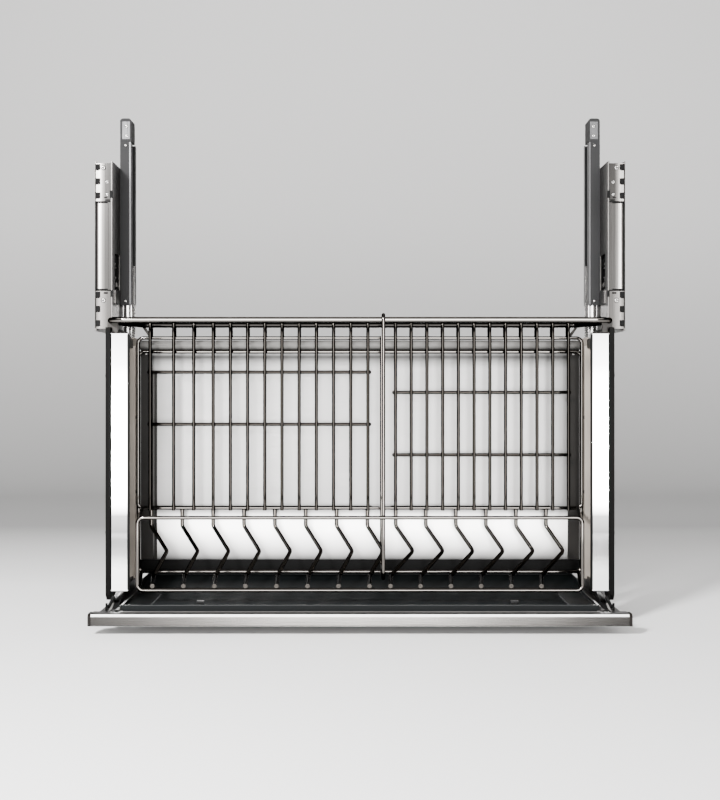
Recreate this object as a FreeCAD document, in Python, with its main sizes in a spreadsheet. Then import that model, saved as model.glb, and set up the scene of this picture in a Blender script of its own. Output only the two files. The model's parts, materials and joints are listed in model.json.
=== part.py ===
import FreeCAD, Part
import math
import os
import re
import Sketcher
from FreeCAD import Placement, Rotation, Vector

# Lift-down dish rack for a wall cabinet.
# Bench axes: x from the middle to the right, y back from the face of the handle, z up from just below it.
# Every piece is then moved so that the origin lies at the centre of the whole rack with its lift units.

SIZES = [
    ("wall_gap", 864, "clear width between the cabinet walls"),
    ("unit_thickness", 28, "wall to inner face of the cheek plate"),
    ("unit_front", 163, "front of the lift units"),
    ("unit_depth", 127, "front to rear of the lift units"),
    ("unit_foot", 455, "lower end of the lift units"),
    ("unit_height", 277, "height of the lift units"),
    ("sheet_gauge", 2, "folded sheet of the lift units"),
    ("bracket_depth", 30, "front to rear of the two end brackets"),
    ("bracket_height", 62, "height of an end bracket"),
    ("bracket_margin", 3.5, "plate left over above and below the brackets"),
    ("notch_height", 8, "height of an edge notch in a bracket"),
    ("notch_width", 5, "width of an edge notch in a bracket"),
    ("cover_gap", 3.2, "gap between a bracket and the damper cover"),
    ("cover_wall", 1.5, "wall of the damper cover"),
    ("cover_bend", 5, "rounding of the damper cover's front corners"),
    ("damper_radius", 9, "damper cylinder"),
    ("damper_stub", 14, "length of the damper's end studs"),
    ("stud_radius", 4, "damper end studs"),
    ("wall_hole", 2.75, "radius of the wall screw holes"),
    ("wall_hole_front", 42, "front wall holes behind the unit's front"),
    ("wall_hole_pitch", 70, "wall hole pitch, front to rear"),
    ("wall_hole_rise", 117, "wall hole pitch, up"),
    ("window_height", 59, "window in the cheek plate"),
    ("window_depth", 62, "window in the cheek plate"),
    ("window_inset", 7, "window behind the cheek plate's front edge"),
    ("column_front", 236, "front of the columns"),
    ("column_width", 47, "front to rear of the columns"),
    ("column_depth", 19, "columns, across"),
    ("column_foot", 501.4, "lower end of the outer channels"),
    ("channel_length", 276.2, "length of the outer channels"),
    ("channel_wall", 1.8, "rolled steel of the telescopic channels"),
    ("cap_height", 38.7, "height of the column caps"),
    ("cap_depth", 36, "column caps, front to rear"),
    ("cap_wall", 2, "wall of the column caps"),
    ("cap_round", 5, "rounding of the column caps"),
    ("stage_inset", 4, "middle stage inside the outer channel's web"),
    ("slide_gap", 3, "gap between nested flanges"),
    ("glide_clearance", 0.3, "running clearance of the glides"),
    ("glide_length", 60, "length of a glide"),
    ("glide_depth", 9, "glides, across"),
    ("stage_length", 300, "length of the middle stage"),
    ("stage_overlap", 70, "middle stage held in the outer channel when low"),
    ("runner_inset", 8, "inner stage inside the outer channel's web"),
    ("runner_length", 300, "length of the inner stage"),
    ("runner_overlap", 65, "inner stage held in the middle stage when low"),
    ("runner_proud", 1, "inner stage stands proud of the channel"),
    ("spool_radius", 13, "spring spool"),
    ("spool_width", 11, "spring spool"),
    ("spool_pin", 3, "radius of the spool's axle"),
    ("running_clearance", 0.05, "radial clearance on a pin"),
    ("latch_rise", 97, "latch above the unit's foot"),
    ("latch_gauge", 6, "thickness of the latch"),
    ("latch_reach", 20, "latch pivot to the hook's nose"),
    ("latch_pin", 3, "radius of the latch pin"),
    ("latch_back", 52, "latch pin behind the unit's front"),
    ("latch_side", 13, "latch pin from the cheek's inner face"),
    ("lift_travel", 405, "height the rack is raised by"),
    ("post_inner", 366.5, "inner face of the front posts"),
    ("post_width", 27.3, "front posts, across"),
    ("post_depth", 12, "front posts, front to rear"),
    ("post_front", 95, "front face of the front posts"),
    ("post_foot", 42.2, "lower end of the front posts"),
    ("post_height", 406, "length of the front posts"),
    ("post_wall", 1.3, "wall of the front posts"),
    ("post_screw_low", 91, "lower side screw above the post's foot"),
    ("post_screw_high", 339, "upper side screw above the post's foot"),
    ("side_gauge", 7.2, "thickness of the side plates"),
    ("side_front", 92, "front edge of the side plates"),
    ("side_depth", 138, "side plates, front to rear"),
    ("side_foot", 27, "lower edge of the side plates"),
    ("side_height", 431, "height of the side plates"),
    ("side_taper", 9, "cut-back of the side plates' lower corners"),
    ("carriage_gauge", 3, "thickness of the carriage posts and side rails"),
    ("carriage_front", 231, "front edge of the carriage posts"),
    ("carriage_depth", 54, "carriage posts, front to rear"),
    ("fascia_inner", 377.5, "inner edge of the strip along a carriage post's front"),
    ("fascia_width", 13.5, "width of that strip"),
    ("fascia_gauge", 3, "thickness of that strip"),
    ("fascia_foot", 42.4, "lower end of that strip"),
    ("fascia_height", 390.3, "height of that strip"),
    ("carriage_top", 447, "top of the carriage posts"),
    ("rail_height", 16, "height of the side rails"),
    ("crossbar_gauge", 5, "thickness of the rear crossbars"),
    ("top_bar_foot", 428, "lower edge of the top crossbar"),
    ("top_bar_height", 16, "height of the top crossbar"),
    ("low_bar_foot", 45, "lower edge of the bottom crossbar"),
    ("low_bar_height", 22, "height of the bottom crossbar"),
    ("rear_post_inner", 358.5, "inner face of the rear posts"),
    ("rear_post_width", 19.5, "rear posts, across"),
    ("rear_post_depth", 10, "rear posts, front to rear"),
    ("panel_half", 358, "half width of the back panel"),
    ("panel_foot", 50, "lower edge of the back panel"),
    ("panel_height", 390, "height of the back panel"),
    ("panel_gauge", 1.5, "thickness of the back panel"),
    ("handle_length", 822, "length of the handle bar"),
    ("handle_foot", 3, "lower edge of the handle bar"),
    ("handle_height", 18.8, "height of the handle bar"),
    ("handle_depth", 22, "handle bar, front to rear"),
    ("handle_bevel", 4.3, "bevel along the handle's upper front edge"),
    ("handle_wall", 2, "wall of the handle bar"),
    ("end_cap", 4.6, "thickness of the handle's end caps"),
    ("strut_inner", 373, "inner face of the handle brackets"),
    ("strut_gauge", 12, "thickness of the handle brackets"),
    ("gusset_depth", 56, "flat of a handle bracket behind the handle"),
    ("ring_rise", 21, "centre of the top ring's tube above the front posts"),
    ("ring_tube", 4.5, "radius of the top ring's tube"),
    ("ring_half", 395, "half width of the top ring's centre line"),
    ("ring_front", 80, "front run of the top ring"),
    ("ring_rear", 263, "rear run of the top ring"),
    ("ring_front_bend", 24, "front bends of the top ring"),
    ("ring_neck_half", 374, "half width of the ring where it passes the columns"),
    ("ring_neck_front", 205, "where the ring starts to draw in"),
    ("ring_neck_rear", 238, "where the ring has drawn in"),
    ("ring_neck_bend", 30, "bends where the ring draws in"),
    ("ring_rear_bend", 14, "rear bends of the top ring"),
    ("frame_wire", 3, "radius of the frame wires"),
    ("plate_wire", 2.9, "radius of the plate wires"),
    ("floor_wire", 3.4, "radius of the kinked floor wires"),
    ("weld_gap", 0.05, "gap between crossing wires, filled by their welds"),
    ("hook_clearance", 0.1, "gap between a hook and the ring's tube"),
    ("seat_gap", 0.3, "gap between a piece and what it rests on"),
    ("frame_half", 377.7, "half width of the rear wire frames"),
    ("frame_bend", 9, "bends of the wire frames"),
    ("rear_top", 447.3, "top rail of the rear wire frame"),
    ("rear_low", 157.9, "bottom rail of the rear wire frame"),
    ("inner_top", 424, "top rail of the inner wire frame"),
    ("inner_low", 48.6, "bottom rail of the inner wire frame"),
    ("guard_half", 346, "half width of the front wire frame"),
    ("guard_plane", 66, "plane of the front wire frame"),
    ("guard_top", 160.4, "top rail of the front wire frame"),
    ("guard_low", 47.3, "bottom rail of the front wire frame"),
    ("fence_end", 154.2, "lower ends of the fence wires"),
    ("hook_drop", 9.2, "lower end of the divider's hook below the ring's centre"),
    ("fence_drop", 23, "lower ends of the fence hooks below the ring's centre"),
    ("left_fence_start", -356.4, "first fence wire on the left"),
    ("left_wide_one", 39.9, "first pitch of the left fence"),
    ("left_wide_two", 34.1, "second pitch of the left fence"),
    ("left_wide_three", 33.1, "third pitch of the left fence"),
    ("left_pitch", 29.2, "other pitches of the left fence"),
    ("left_cross_high", 389.2, "upper cross wire of the left fence"),
    ("left_cross_low", 300.4, "lower cross wire of the left fence"),
    ("right_fence_start", 60.3, "first fence wire on the right"),
    ("right_pitch", 26.7, "pitch of the right fence"),
    ("right_cross_high", 354.7, "upper cross wire of the right fence"),
    ("right_cross_low", 248.4, "lower cross wire of the right fence"),
    ("left_floor_start", -356.2, "first floor wire on the left"),
    ("left_floor_pitch", 52.7, "pitch of the left floor wires"),
    ("right_floor_start", 61.1, "first floor wire on the right"),
    ("right_floor_pitch", 51.3, "pitch of the right floor wires"),
    ("left_knee_shift", 26.5, "left floor wires' kinks, shifted right"),
    ("right_knee_shift", 29.3, "right floor wires' kinks, shifted right"),
    ("knee_high", 126.7, "where a floor wire starts to kink"),
    ("knee_middle", 87, "middle of the kink"),
    ("knee_plane", 243, "plane of the kink's middle"),
    ("floor_rear", 183, "where a floor wire meets the floor"),
    ("floor_bend", 9, "bends of the floor wires"),
    ("left_foot_shift", 4.5, "left floor wires where they meet the floor, shifted right"),
    ("right_foot_shift", -8.3, "right floor wires where they meet the floor, shifted right"),
    ("left_front_shift", 3.2, "left floor wires' front ends, shifted right"),
    ("right_front_shift", -8.6, "right floor wires' front ends, shifted right"),
    ("divider_place", 36.6, "centre divider right of the middle"),
    ("divider_rear", 255.3, "rear leg of the centre divider"),
    ("divider_bend", 14, "bends of the centre divider"),
    ("tray_half", 364, "half width of the drip tray"),
    ("tray_front", 20, "front of the drip tray"),
    ("tray_depth", 264.5, "drip tray, front to rear"),
    ("tray_foot", 24.4, "underside of the drip tray"),
    ("tray_rim", 31.8, "rim at the tray's front"),
    ("tray_back", 43.5, "rim at the tray's back"),
    ("tray_wall", 2, "wall of the drip tray"),
    ("tray_ramp", 195, "tray's front to where its floor starts to rise"),
    ("tray_guide", 6, "height of the guide beside the tray"),
    ("tray_slope_start", 137.5, "tray's front to where its side rim starts to rise"),
    ("tray_slope_end", 195.7, "tray's front to where its side rim has risen"),
    ("clip_left", 247.5, "left tray clip from the middle"),
    ("clip_right", 240, "right tray clip from the middle"),
    ("rib_pitch", 12, "pitch of the tray's ribs"),
    ("rib_height", 1.2, "height of the tray's ribs"),
    ("rib_margin", 40, "tray wall to the ends of the ribs"),
    ("runner_ledge", 29, "tray runners, across"),
    ("runner_gauge", 1.7, "tray runners"),
    ("screw_head", 4, "radius of the large screw heads"),
    ("screw_shank", 2.5, "radius of the large screws"),
    ("small_head", 2.4, "radius of the small screw heads"),
    ("small_shank", 1.4, "radius of the small screws"),
    ("head_height", 1.8, "height of the screw heads"),
]

WORDS = [alias for alias, number, note in SIZES]

# Bench places that several pieces share, written in the sheet's words.
HALF_GAP = "wall_gap / 2"
CHEEK_FACE = "(wall_gap / 2 - unit_thickness)"
COLUMN_EDGE = "(wall_gap / 2 - unit_thickness - column_depth)"
MOUNT_FACE = "(wall_gap / 2 - unit_thickness - column_depth - runner_proud)"
CAP_FOOT = "(column_foot + channel_length)"
COLUMN_MIDDLE = "(column_front + column_width / 2)"
CAP_MIDDLE = "(column_front + cap_depth / 2)"
HANDLE_TOP = "(handle_foot + handle_height)"
STAGE_TOP = "(column_foot + stage_overlap)"
STAGE_FOOT = "(column_foot + stage_overlap - stage_length)"
RUNNER_TOP = "(column_foot + stage_overlap - stage_length + runner_overlap)"
RUNNER_FOOT = "(column_foot + stage_overlap - stage_length + runner_overlap - runner_length)"
CARRIAGE_REAR = "(carriage_front + carriage_depth)"
BAR_REAR = "(carriage_front + carriage_depth + crossbar_gauge)"
POST_REAR = "(post_front + post_depth)"
POST_TOP = "(post_foot + post_height)"
RING_LEVEL = "(post_foot + post_height + ring_rise)"
LATCH_LEVEL = "(unit_foot + latch_rise)"
MIDDLE_Y = "(carriage_front + carriage_depth + crossbar_gauge + rear_post_depth) / 2"
MIDDLE_Z = "(column_foot + channel_length + cap_height + handle_foot) / 2"

doc = FreeCAD.newDocument("dish_rack")
sheet = doc.addObject("Spreadsheet::Sheet", "sizes")
for row, (alias, number, note) in enumerate(SIZES, start=1):
    sheet.set("A" + str(row), note)
    sheet.set("B" + str(row), str(number))
    sheet.setAlias("B" + str(row), alias)
doc.recompute()

NODES = []
SIDES = [("left", -1), ("right", 1)]


def mm(alias):
    """Number held by one cell of the sheet."""
    return float(getattr(sheet, alias))


def bound(text):
    """The text with the sheet's name put before each of its words."""
    return re.sub(r"[a-z][a-z_]*", lambda word: "sizes." + word.group(0) if word.group(0) in WORDS
                  else word.group(0), str(text))


def place(item, x, y, z):
    """Bind an object's place on the bench, moved to the shared origin."""
    item.setExpression("Placement.Base.x", bound(x))
    item.setExpression("Placement.Base.y", bound("{} - {}".format(y, MIDDLE_Y)))
    item.setExpression("Placement.Base.z", bound("{} - {}".format(z, MIDDLE_Z)))
    return item


def span(side, inner, width):
    """Lower x of a piece that runs from inner to inner + width on one side."""
    if side > 0:
        return "({})".format(inner)
    return "(-({}) - ({}))".format(inner, width)


def block(name, x, y, z, length, depth, height):
    """Box from its lowest corner."""
    item = doc.addObject("Part::Box", name)
    item.setExpression("Length", bound(length))
    item.setExpression("Width", bound(depth))
    item.setExpression("Height", bound(height))
    return place(item, x, y, z)


TURNS = {
    "x": Rotation(Vector(0, 1, 0), 90),
    "y": Rotation(Vector(1, 0, 0), -90),
    "z": Rotation(),
}


def peg(name, axis, x, y, z, radius, length):
    """Cylinder that starts at a point and runs up its axis."""
    item = doc.addObject("Part::Cylinder", name)
    item.Placement = Placement(Vector(), TURNS[axis])
    item.setExpression("Radius", bound(radius))
    item.setExpression("Height", bound(length))
    return place(item, x, y, z)


def fuse(name, items):
    """One solid from several that meet."""
    item = doc.addObject("Part::MultiFuse", name)
    item.Shapes = items
    return item


def group(name, items):
    """Separate solids that share a node."""
    item = doc.addObject("Part::Compound", name)
    item.Links = items
    return item


def cut(name, base, tools):
    """Base with the tools taken away."""
    tool = tools[0] if len(tools) == 1 else fuse(name + "_tools", tools)
    item = doc.addObject("Part::Cut", name)
    item.Base = base
    item.Tool = tool
    return item


def node(label, item):
    """Name the object that becomes one sub-part."""
    item.Label = label
    NODES.append(item)
    return item


def body_plane(body, role):
    """One of a body's own origin planes."""
    return [item for item in body.Origin.OriginFeatures if item.Role == role][0]


def sketch_on(body, name, role):
    """Empty sketch on one of the body's origin planes."""
    sketch = body.newObject("Sketcher::SketchObject", name)
    sketch.AttachmentSupport = [(body_plane(body, role), "")]
    sketch.MapMode = "FlatFace"
    return sketch


def outline(sketch, corners):
    """Closed run of straight lines whose corners are bound to the sheet."""
    first = sketch.GeometryCount
    count = len(corners)
    spots = [Vector(3.0 * math.cos(2 * math.pi * i / count), 3.0 * math.sin(2 * math.pi * i / count), 0)
             for i in range(count)]
    for i in range(count):
        sketch.addGeometry(Part.LineSegment(spots[i], spots[(i + 1) % count]), False)
    for i in range(count):
        sketch.addConstraint(Sketcher.Constraint("Coincident", first + i, 2, first + (i + 1) % count, 1))
    for i, (across, up) in enumerate(corners):
        for kind, text, start in (("DistanceX", across, spots[i].x), ("DistanceY", up, spots[i].y)):
            index = sketch.addConstraint(Sketcher.Constraint(kind, -1, 1, first + i, 1, start))
            sketch.setExpression("Constraints[{}]".format(index), bound(text))


def hole_in(sketch, across, up, radius):
    """Circle whose centre and radius are bound to the sheet."""
    index = sketch.addGeometry(Part.Circle(Vector(5, 5, 0), Vector(0, 0, 1), 1.0), False)
    for kind, text in (("DistanceX", across), ("DistanceY", up)):
        spot = sketch.addConstraint(Sketcher.Constraint(kind, -1, 1, index, 3, 5.0))
        sketch.setExpression("Constraints[{}]".format(spot), bound(text))
    spot = sketch.addConstraint(Sketcher.Constraint("Radius", index, 1.0))
    sketch.setExpression("Constraints[{}]".format(spot), bound(radius))


def plate(name, role, length, corners, holes=(), windows=()):
    """Padded outline with round holes and straight-edged windows."""
    body = doc.addObject("PartDesign::Body", name)
    sketch = sketch_on(body, name + "_outline", role)
    outline(sketch, corners)
    for window in windows:
        outline(sketch, window)
    for across, up, radius in holes:
        hole_in(sketch, across, up, radius)
    pad = body.newObject("PartDesign::Pad", name + "_pad")
    pad.Profile = sketch
    pad.setExpression("Length", bound(length))
    body.Tip = pad
    return body


def feature(name, shape):
    """Free form made by code, moved to the shared origin after its shape is set."""
    item = doc.addObject("Part::Feature", name)
    item.Shape = shape
    return place(item, "0", "0", "0")


# Straight run that is still worth an edge between two bends.
SHORTEST_RUN = 0.001


def bent_path(points, bend, closed=False):
    """Straight runs joined by tangent arcs of one bend radius."""
    points = [Vector(*point) for point in points]
    count = len(points)
    starts = []
    ends = []
    arcs = []
    for i, corner in enumerate(points):
        if not closed and i in (0, count - 1):
            starts.append(corner)
            ends.append(corner)
            arcs.append(None)
            continue
        radius = bend[i] if isinstance(bend, (list, tuple)) else bend
        back = (points[i - 1] - corner).normalize()
        ahead = (points[(i + 1) % count] - corner).normalize()
        half = back.getAngle(ahead) / 2
        reach = radius / math.tan(half)
        inward = (back + ahead).normalize()
        middle = corner + inward * (radius / math.sin(half) - radius)
        starts.append(corner + back * reach)
        ends.append(corner + ahead * reach)
        arcs.append(middle)
    edges = []
    last = count if closed else count - 1
    for i in range(count):
        if arcs[i] is not None:
            edges.append(Part.Arc(starts[i], arcs[i], ends[i]).toShape())
        if i < last:
            follow = (i + 1) % count
            if (starts[follow] - ends[i]).Length > SHORTEST_RUN:
                edges.append(Part.LineSegment(ends[i], starts[follow]).toShape())
    return Part.Wire(edges)


def wire_solid(points, bend, radius, closed=False):
    """Round wire swept along straight runs and bends."""
    path = bent_path(points, bend, closed)
    edge = path.Edges[1] if closed else path.Edges[0]
    start = edge.valueAt(edge.FirstParameter)
    heading = edge.tangentAt(edge.FirstParameter)
    if not closed:
        start = Vector(*points[0])
        heading = (Vector(*points[1]) - start).normalize()
    profile = Part.Wire([Part.Circle(start, heading, radius).toShape()])
    return path.makePipeShell([profile], True, False)


def rod_solid(start, end, radius):
    """Straight round wire between two points."""
    start = Vector(*start)
    run = Vector(*end) - start
    return Part.makeCylinder(radius, run.Length, start, run)


def weld(solids):
    """One solid from wires that sink into each other."""
    return solids[0].multiFuse(solids[1:]).removeSplitter()


# Wall plate: the sheet that is screwed to the cabinet wall, with two ears for the latch pin.
def wall_plate(word, side):
    holes = []
    for row in ("- wall_hole_rise / 2", "+ wall_hole_rise / 2"):
        for column in ("wall_hole_front", "wall_hole_front + wall_hole_pitch"):
            holes.append((column, "unit_height / 2 " + row, "wall_hole"))
    sheet_body = plate(word + "_wall_sheet", "YZ_Plane", "sheet_gauge",
                       [("0", "0"), ("unit_depth", "0"), ("unit_depth", "unit_height"), ("0", "unit_height")],
                       holes)
    place(sheet_body, span(side, HALF_GAP + " - sheet_gauge", "sheet_gauge"), "unit_front", "unit_foot")
    ears = []
    reach = "unit_thickness - latch_side + 3 * latch_pin - sheet_gauge"
    for name, level in (("low", LATCH_LEVEL + " - 3 * sheet_gauge"),
                        ("high", LATCH_LEVEL + " + latch_gauge + 2 * sheet_gauge")):
        ear = block(word + "_ear_" + name, span(side, CHEEK_FACE + " + latch_side - 3 * latch_pin", reach),
                    "unit_front + latch_back - 3 * latch_pin", level, reach, "6 * latch_pin", "sheet_gauge")
        bore = peg(word + "_ear_bore_" + name, "z", span(side, CHEEK_FACE + " + latch_side", "0"),
                   "unit_front + latch_back", level + " - 1", "latch_pin", "sheet_gauge + 2")
        ears.append(cut(word + "_ear_cut_" + name, ear, [bore]))
    node(word + "_wall_plate", fuse(word + "_wall_plate", [sheet_body] + ears))


# Cheek plate: inner wall of the lift unit, with the latch window; it carries the column.
def cheek_plate(word, side):
    corners = [("0", "0"), ("unit_depth", "0"), ("unit_depth", "unit_height"), ("0", "unit_height")]
    low = "latch_rise + latch_gauge / 2 - window_height / 2"
    high = low + " + window_height"
    window = [("window_inset", low), ("window_inset + window_depth", low),
              ("window_inset + window_depth", high), ("window_inset", high)]
    holes = [("column_front - unit_front + column_width / 2", "column_foot - unit_foot + 3 * screw_head",
              "screw_shank + running_clearance"),
             ("column_front - unit_front + column_width / 2", "unit_height - 4 * screw_head",
              "screw_shank + running_clearance")]
    item = plate(word + "_cheek_plate", "YZ_Plane", "sheet_gauge", corners, holes, [window])
    place(item, span(side, CHEEK_FACE, "sheet_gauge"), "unit_front", "unit_foot")
    node(word + "_cheek_plate", item)


# End brackets: folded boxes, open at the back, that tie the cheek plate to the wall plate.
def end_bracket(word, side, name, foot):
    inner = CHEEK_FACE + " + sheet_gauge"
    width = "(unit_thickness - 2 * sheet_gauge)"
    shell = block(word + "_" + name + "_shell", span(side, inner, width), "unit_front", foot,
                  width, "bracket_depth", "bracket_height")
    clear = width + " - 2 * sheet_gauge"
    hollow = block(word + "_" + name + "_hollow", span(side, inner + " + sheet_gauge", clear),
                   "unit_front + sheet_gauge", foot + " + sheet_gauge", clear,
                   "bracket_depth", "bracket_height - 2 * sheet_gauge")
    tools = [hollow]
    for i in range(3):
        level = foot + " + notch_height / 2 + {} * (bracket_height - 2 * notch_height) / 2".format(i)
        tools.append(block("{}_{}_notch_{}".format(word, name, i),
                           span(side, HALF_GAP + " - sheet_gauge - notch_width", "notch_width + 1"),
                           "unit_front - 1", level, "notch_width + 1", "sheet_gauge + 2", "notch_height"))
    middle = span(side, inner + " + " + width + " / 2", "0")
    tools.append(peg("{}_{}_screw_hole".format(word, name), "y", middle, "unit_front - 1",
                     bracket_screw_level(name, foot), "screw_shank + running_clearance", "sheet_gauge + 2"))
    node("{}_{}_bracket".format(word, name), cut("{}_{}_bracket".format(word, name), shell, tools))


def bracket_screw_level(name, foot):
    """Height of the screw that shows in a bracket's face."""
    if name == "upper":
        return foot + " + bracket_height - 3 * screw_shank"
    return foot + " + bracket_height - 3 * screw_shank - notch_height"


LOWER_FOOT = "(unit_foot + bracket_margin)"
UPPER_FOOT = "(unit_foot + unit_height - bracket_margin - bracket_height)"


# Damper cover: sheet with rounded front corners before the damper, between the two brackets.
def damper_cover(word, side):
    width = "(unit_thickness - 2 * sheet_gauge)"
    foot = LOWER_FOOT + " + bracket_height + cover_gap"
    height = UPPER_FOOT + " - cover_gap - (" + foot + ")"

    def solids(name, inset, low, tall):
        near = "(" + CHEEK_FACE + " + sheet_gauge + " + inset + ")"
        wide = "(" + width + " - 2 * " + inset + ")"
        front = "(unit_front + " + inset + ")"
        round_part = "(cover_bend - " + inset + ")"
        parts = [block("{}_{}_face".format(word, name), span(side, near + " + " + round_part,
                                                             wide + " - 2 * " + round_part),
                       front, low, wide + " - 2 * " + round_part, "cover_bend", tall),
                 block("{}_{}_sides".format(word, name), span(side, near, wide), "unit_front + cover_bend",
                       low, wide, "bracket_depth - cover_bend + " + inset, tall)]
        for i, middle in enumerate((near + " + " + round_part, near + " + " + wide + " - " + round_part)):
            parts.append(peg("{}_{}_corner_{}".format(word, name, i), "z", span(side, middle, "0"),
                             "unit_front + cover_bend", low, round_part, tall))
        return parts

    whole = fuse(word + "_cover_whole", solids("cover", "0", foot, height))
    node(word + "_damper_cover", cut(word + "_damper_cover", whole,
                                     solids("bore", "cover_wall", foot + " - 1", height + " + 2")))


# Damper: closed cylinder with a stud at each end, held between the two brackets.
def damper(word, side):
    x = span(side, CHEEK_FACE + " + unit_thickness / 2", "0")
    y = "unit_front + unit_thickness / 2 + sheet_gauge"
    foot = LOWER_FOOT + " + bracket_height"
    height = UPPER_FOOT + " - (" + foot + ")"
    tube = peg(word + "_damper_tube", "z", x, y, foot + " + damper_stub", "damper_radius",
               height + " - 2 * damper_stub")
    stud = peg(word + "_damper_stud", "z", x, y, foot, "stud_radius", height)
    node(word + "_damper", fuse(word + "_damper", [tube, stud]))


def channel_corners(side, web, near, far, depth_in, depth_out, open_inward):
    """Corners of a folded channel: web at one side, flanges at near and far."""
    sign = "" if side > 0 else "-"
    base = "(wall_gap / 2 - unit_thickness - ({}))"

    def across(inset):
        return sign + base.format(inset)

    if open_inward:
        back = depth_in
        web_in = depth_in + " + " + web
        lip = depth_out
    else:
        back = depth_out
        web_in = depth_out + " - " + web
        lip = depth_in
    return [(across(back), near), (across(lip), near), (across(lip), near + " + channel_wall"),
            (across(web_in), near + " + channel_wall"), (across(web_in), far + " - channel_wall"),
            (across(lip), far + " - channel_wall"), (across(lip), far), (across(back), far)]


NEST = "(channel_wall + slide_gap)"
COLUMN_REAR = "(column_front + column_width)"


# Outer channel of the telescopic column, its web against the cheek plate.
def outer_channel(word, side):
    corners = channel_corners(side, "channel_wall", "column_front", COLUMN_REAR, "0", "column_depth", True)
    raw = plate(word + "_channel_profile", "XY_Plane", "channel_length", corners)
    place(raw, "0", "0", "column_foot")
    holes = []
    hole_x = span(side, CHEEK_FACE + " - channel_wall - 1", "channel_wall + 2")
    for i, level in enumerate(("column_foot + 3 * screw_head", "unit_foot + unit_height - 4 * screw_head")):
        holes.append(peg("{}_channel_hole_{}".format(word, i), "x", hole_x, COLUMN_MIDDLE, level,
                         "screw_shank + running_clearance", "channel_wall + 2"))
    for i, level in enumerate(RIVET_LEVELS):
        holes.append(peg("{}_channel_rivet_hole_{}".format(word, i), "y",
                         span(side, CHEEK_FACE + " - column_depth / 2", "0"), "column_front - 1", level,
                         "small_shank + running_clearance", "channel_wall + 2"))
    node(word + "_outer_channel", cut(word + "_outer_channel", raw, holes))


RIVET_LEVELS = ["column_foot + 3 * small_head", CAP_FOOT + " - 3 * small_head"]


# Middle stage of the column, which travels half as far as the rack, and its four glides.
def middle_stage(word, side):
    corners = channel_corners(side, "channel_wall", "column_front + " + NEST, COLUMN_REAR + " - " + NEST,
                              "stage_inset", "column_depth", True)
    item = plate(word + "_middle_stage", "XY_Plane", "stage_length", corners)
    place(item, "0", "0", STAGE_FOOT)
    node(word + "_middle_stage", item)


def glides(word, side):
    inner = CHEEK_FACE + " - column_depth + (column_depth - stage_inset - glide_depth) / 4"
    thick = "slide_gap - glide_clearance"
    items = []
    spots = [("front_top", "column_front + channel_wall + glide_clearance", STAGE_TOP + " - glide_length"),
             ("rear_top", COLUMN_REAR + " - channel_wall - slide_gap", STAGE_TOP + " - glide_length"),
             ("front_low", "column_front + 2 * channel_wall + slide_gap", STAGE_FOOT),
             ("rear_low", COLUMN_REAR + " - 2 * channel_wall - 2 * slide_gap + glide_clearance", STAGE_FOOT)]
    for name, y, z in spots:
        items.append(block("{}_glide_{}".format(word, name), span(side, inner, "glide_depth"), y, z,
                           "glide_depth", thick, "glide_length"))
    node(word + "_glides", group(word + "_glides", items))


# Inner stage of the column, its web proud of the channels so that the rack can be screwed to it.
def inner_stage(word, side):
    near = "column_front + 2 * " + NEST
    far = COLUMN_REAR + " - 2 * " + NEST
    corners = channel_corners(side, "channel_wall", near, far, "runner_inset", "column_depth + runner_proud",
                              False)
    raw = plate(word + "_inner_profile", "XY_Plane", "runner_length", corners)
    place(raw, "0", "0", RUNNER_FOOT)
    holes = []
    for i, level in enumerate(CARRIAGE_LEVELS):
        holes.append(peg("{}_inner_hole_{}".format(word, i), "x",
                         span(side, MOUNT_FACE + " - 1", "channel_wall + 2"), CARRIAGE_SCREW, level,
                         "screw_shank + running_clearance", "channel_wall + 2"))
    node(word + "_inner_stage", cut(word + "_inner_stage", raw, holes))


CARRIAGE_SCREW = "(column_front + 2 * channel_wall + 2 * slide_gap + 1.6 * screw_shank)"
CARRIAGE_LEVELS = [RUNNER_FOOT + " + 6 * screw_head", RUNNER_FOOT + " + runner_length / 2",
                   RUNNER_TOP + " - 6 * screw_head"]


# Column cap: rounded housing on top of the outer channel, with the axle of the spring spool.
def column_cap(word, side):
    body = doc.addObject("PartDesign::Body", word + "_cap_shell")
    sketch = sketch_on(body, word + "_cap_outline", "XZ_Plane")
    outline(sketch, [("0", "0"), ("column_depth", "0"), ("column_depth", "cap_height"), ("0", "cap_height")])
    pad = body.newObject("PartDesign::Pad", word + "_cap_pad")
    pad.Profile = sketch
    pad.Reversed = True
    pad.setExpression("Length", bound("cap_depth"))
    doc.recompute()
    top = mm("cap_height")
    names = []
    for index, edge in enumerate(pad.Shape.Edges, start=1):
        ends = [vertex.Point for vertex in edge.Vertexes]
        along = abs(ends[0].y - ends[1].y) > mm("cap_depth") / 2
        if along and min(point.z for point in ends) > top - 0.01:
            names.append("Edge" + str(index))
    rounding = body.newObject("PartDesign::Fillet", word + "_cap_rounding")
    rounding.Base = (pad, names)
    rounding.setExpression("Radius", bound("cap_round"))
    body.Tip = rounding
    place(body, span(side, COLUMN_EDGE, "column_depth"), "column_front", CAP_FOOT)
    clear = "column_depth - 2 * cap_wall"
    hollow = block(word + "_cap_hollow", span(side, COLUMN_EDGE + " + cap_wall", clear),
                   "column_front + cap_wall", CAP_FOOT + " - 1", clear,
                   "cap_depth - 2 * cap_wall", "cap_height - 2 * cap_wall + 1")
    shell = cut(word + "_cap_cut", body, [hollow])
    length = "column_depth - cap_wall"
    axle = peg(word + "_cap_axle", "x", span(side, COLUMN_EDGE + " + cap_wall / 2", length),
               CAP_MIDDLE, SPOOL_LEVEL, "spool_pin", length)
    node(word + "_column_cap", fuse(word + "_column_cap", [shell, axle]))


SPOOL_LEVEL = "(column_foot + channel_length + cap_height / 2 - cap_wall / 2)"


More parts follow.
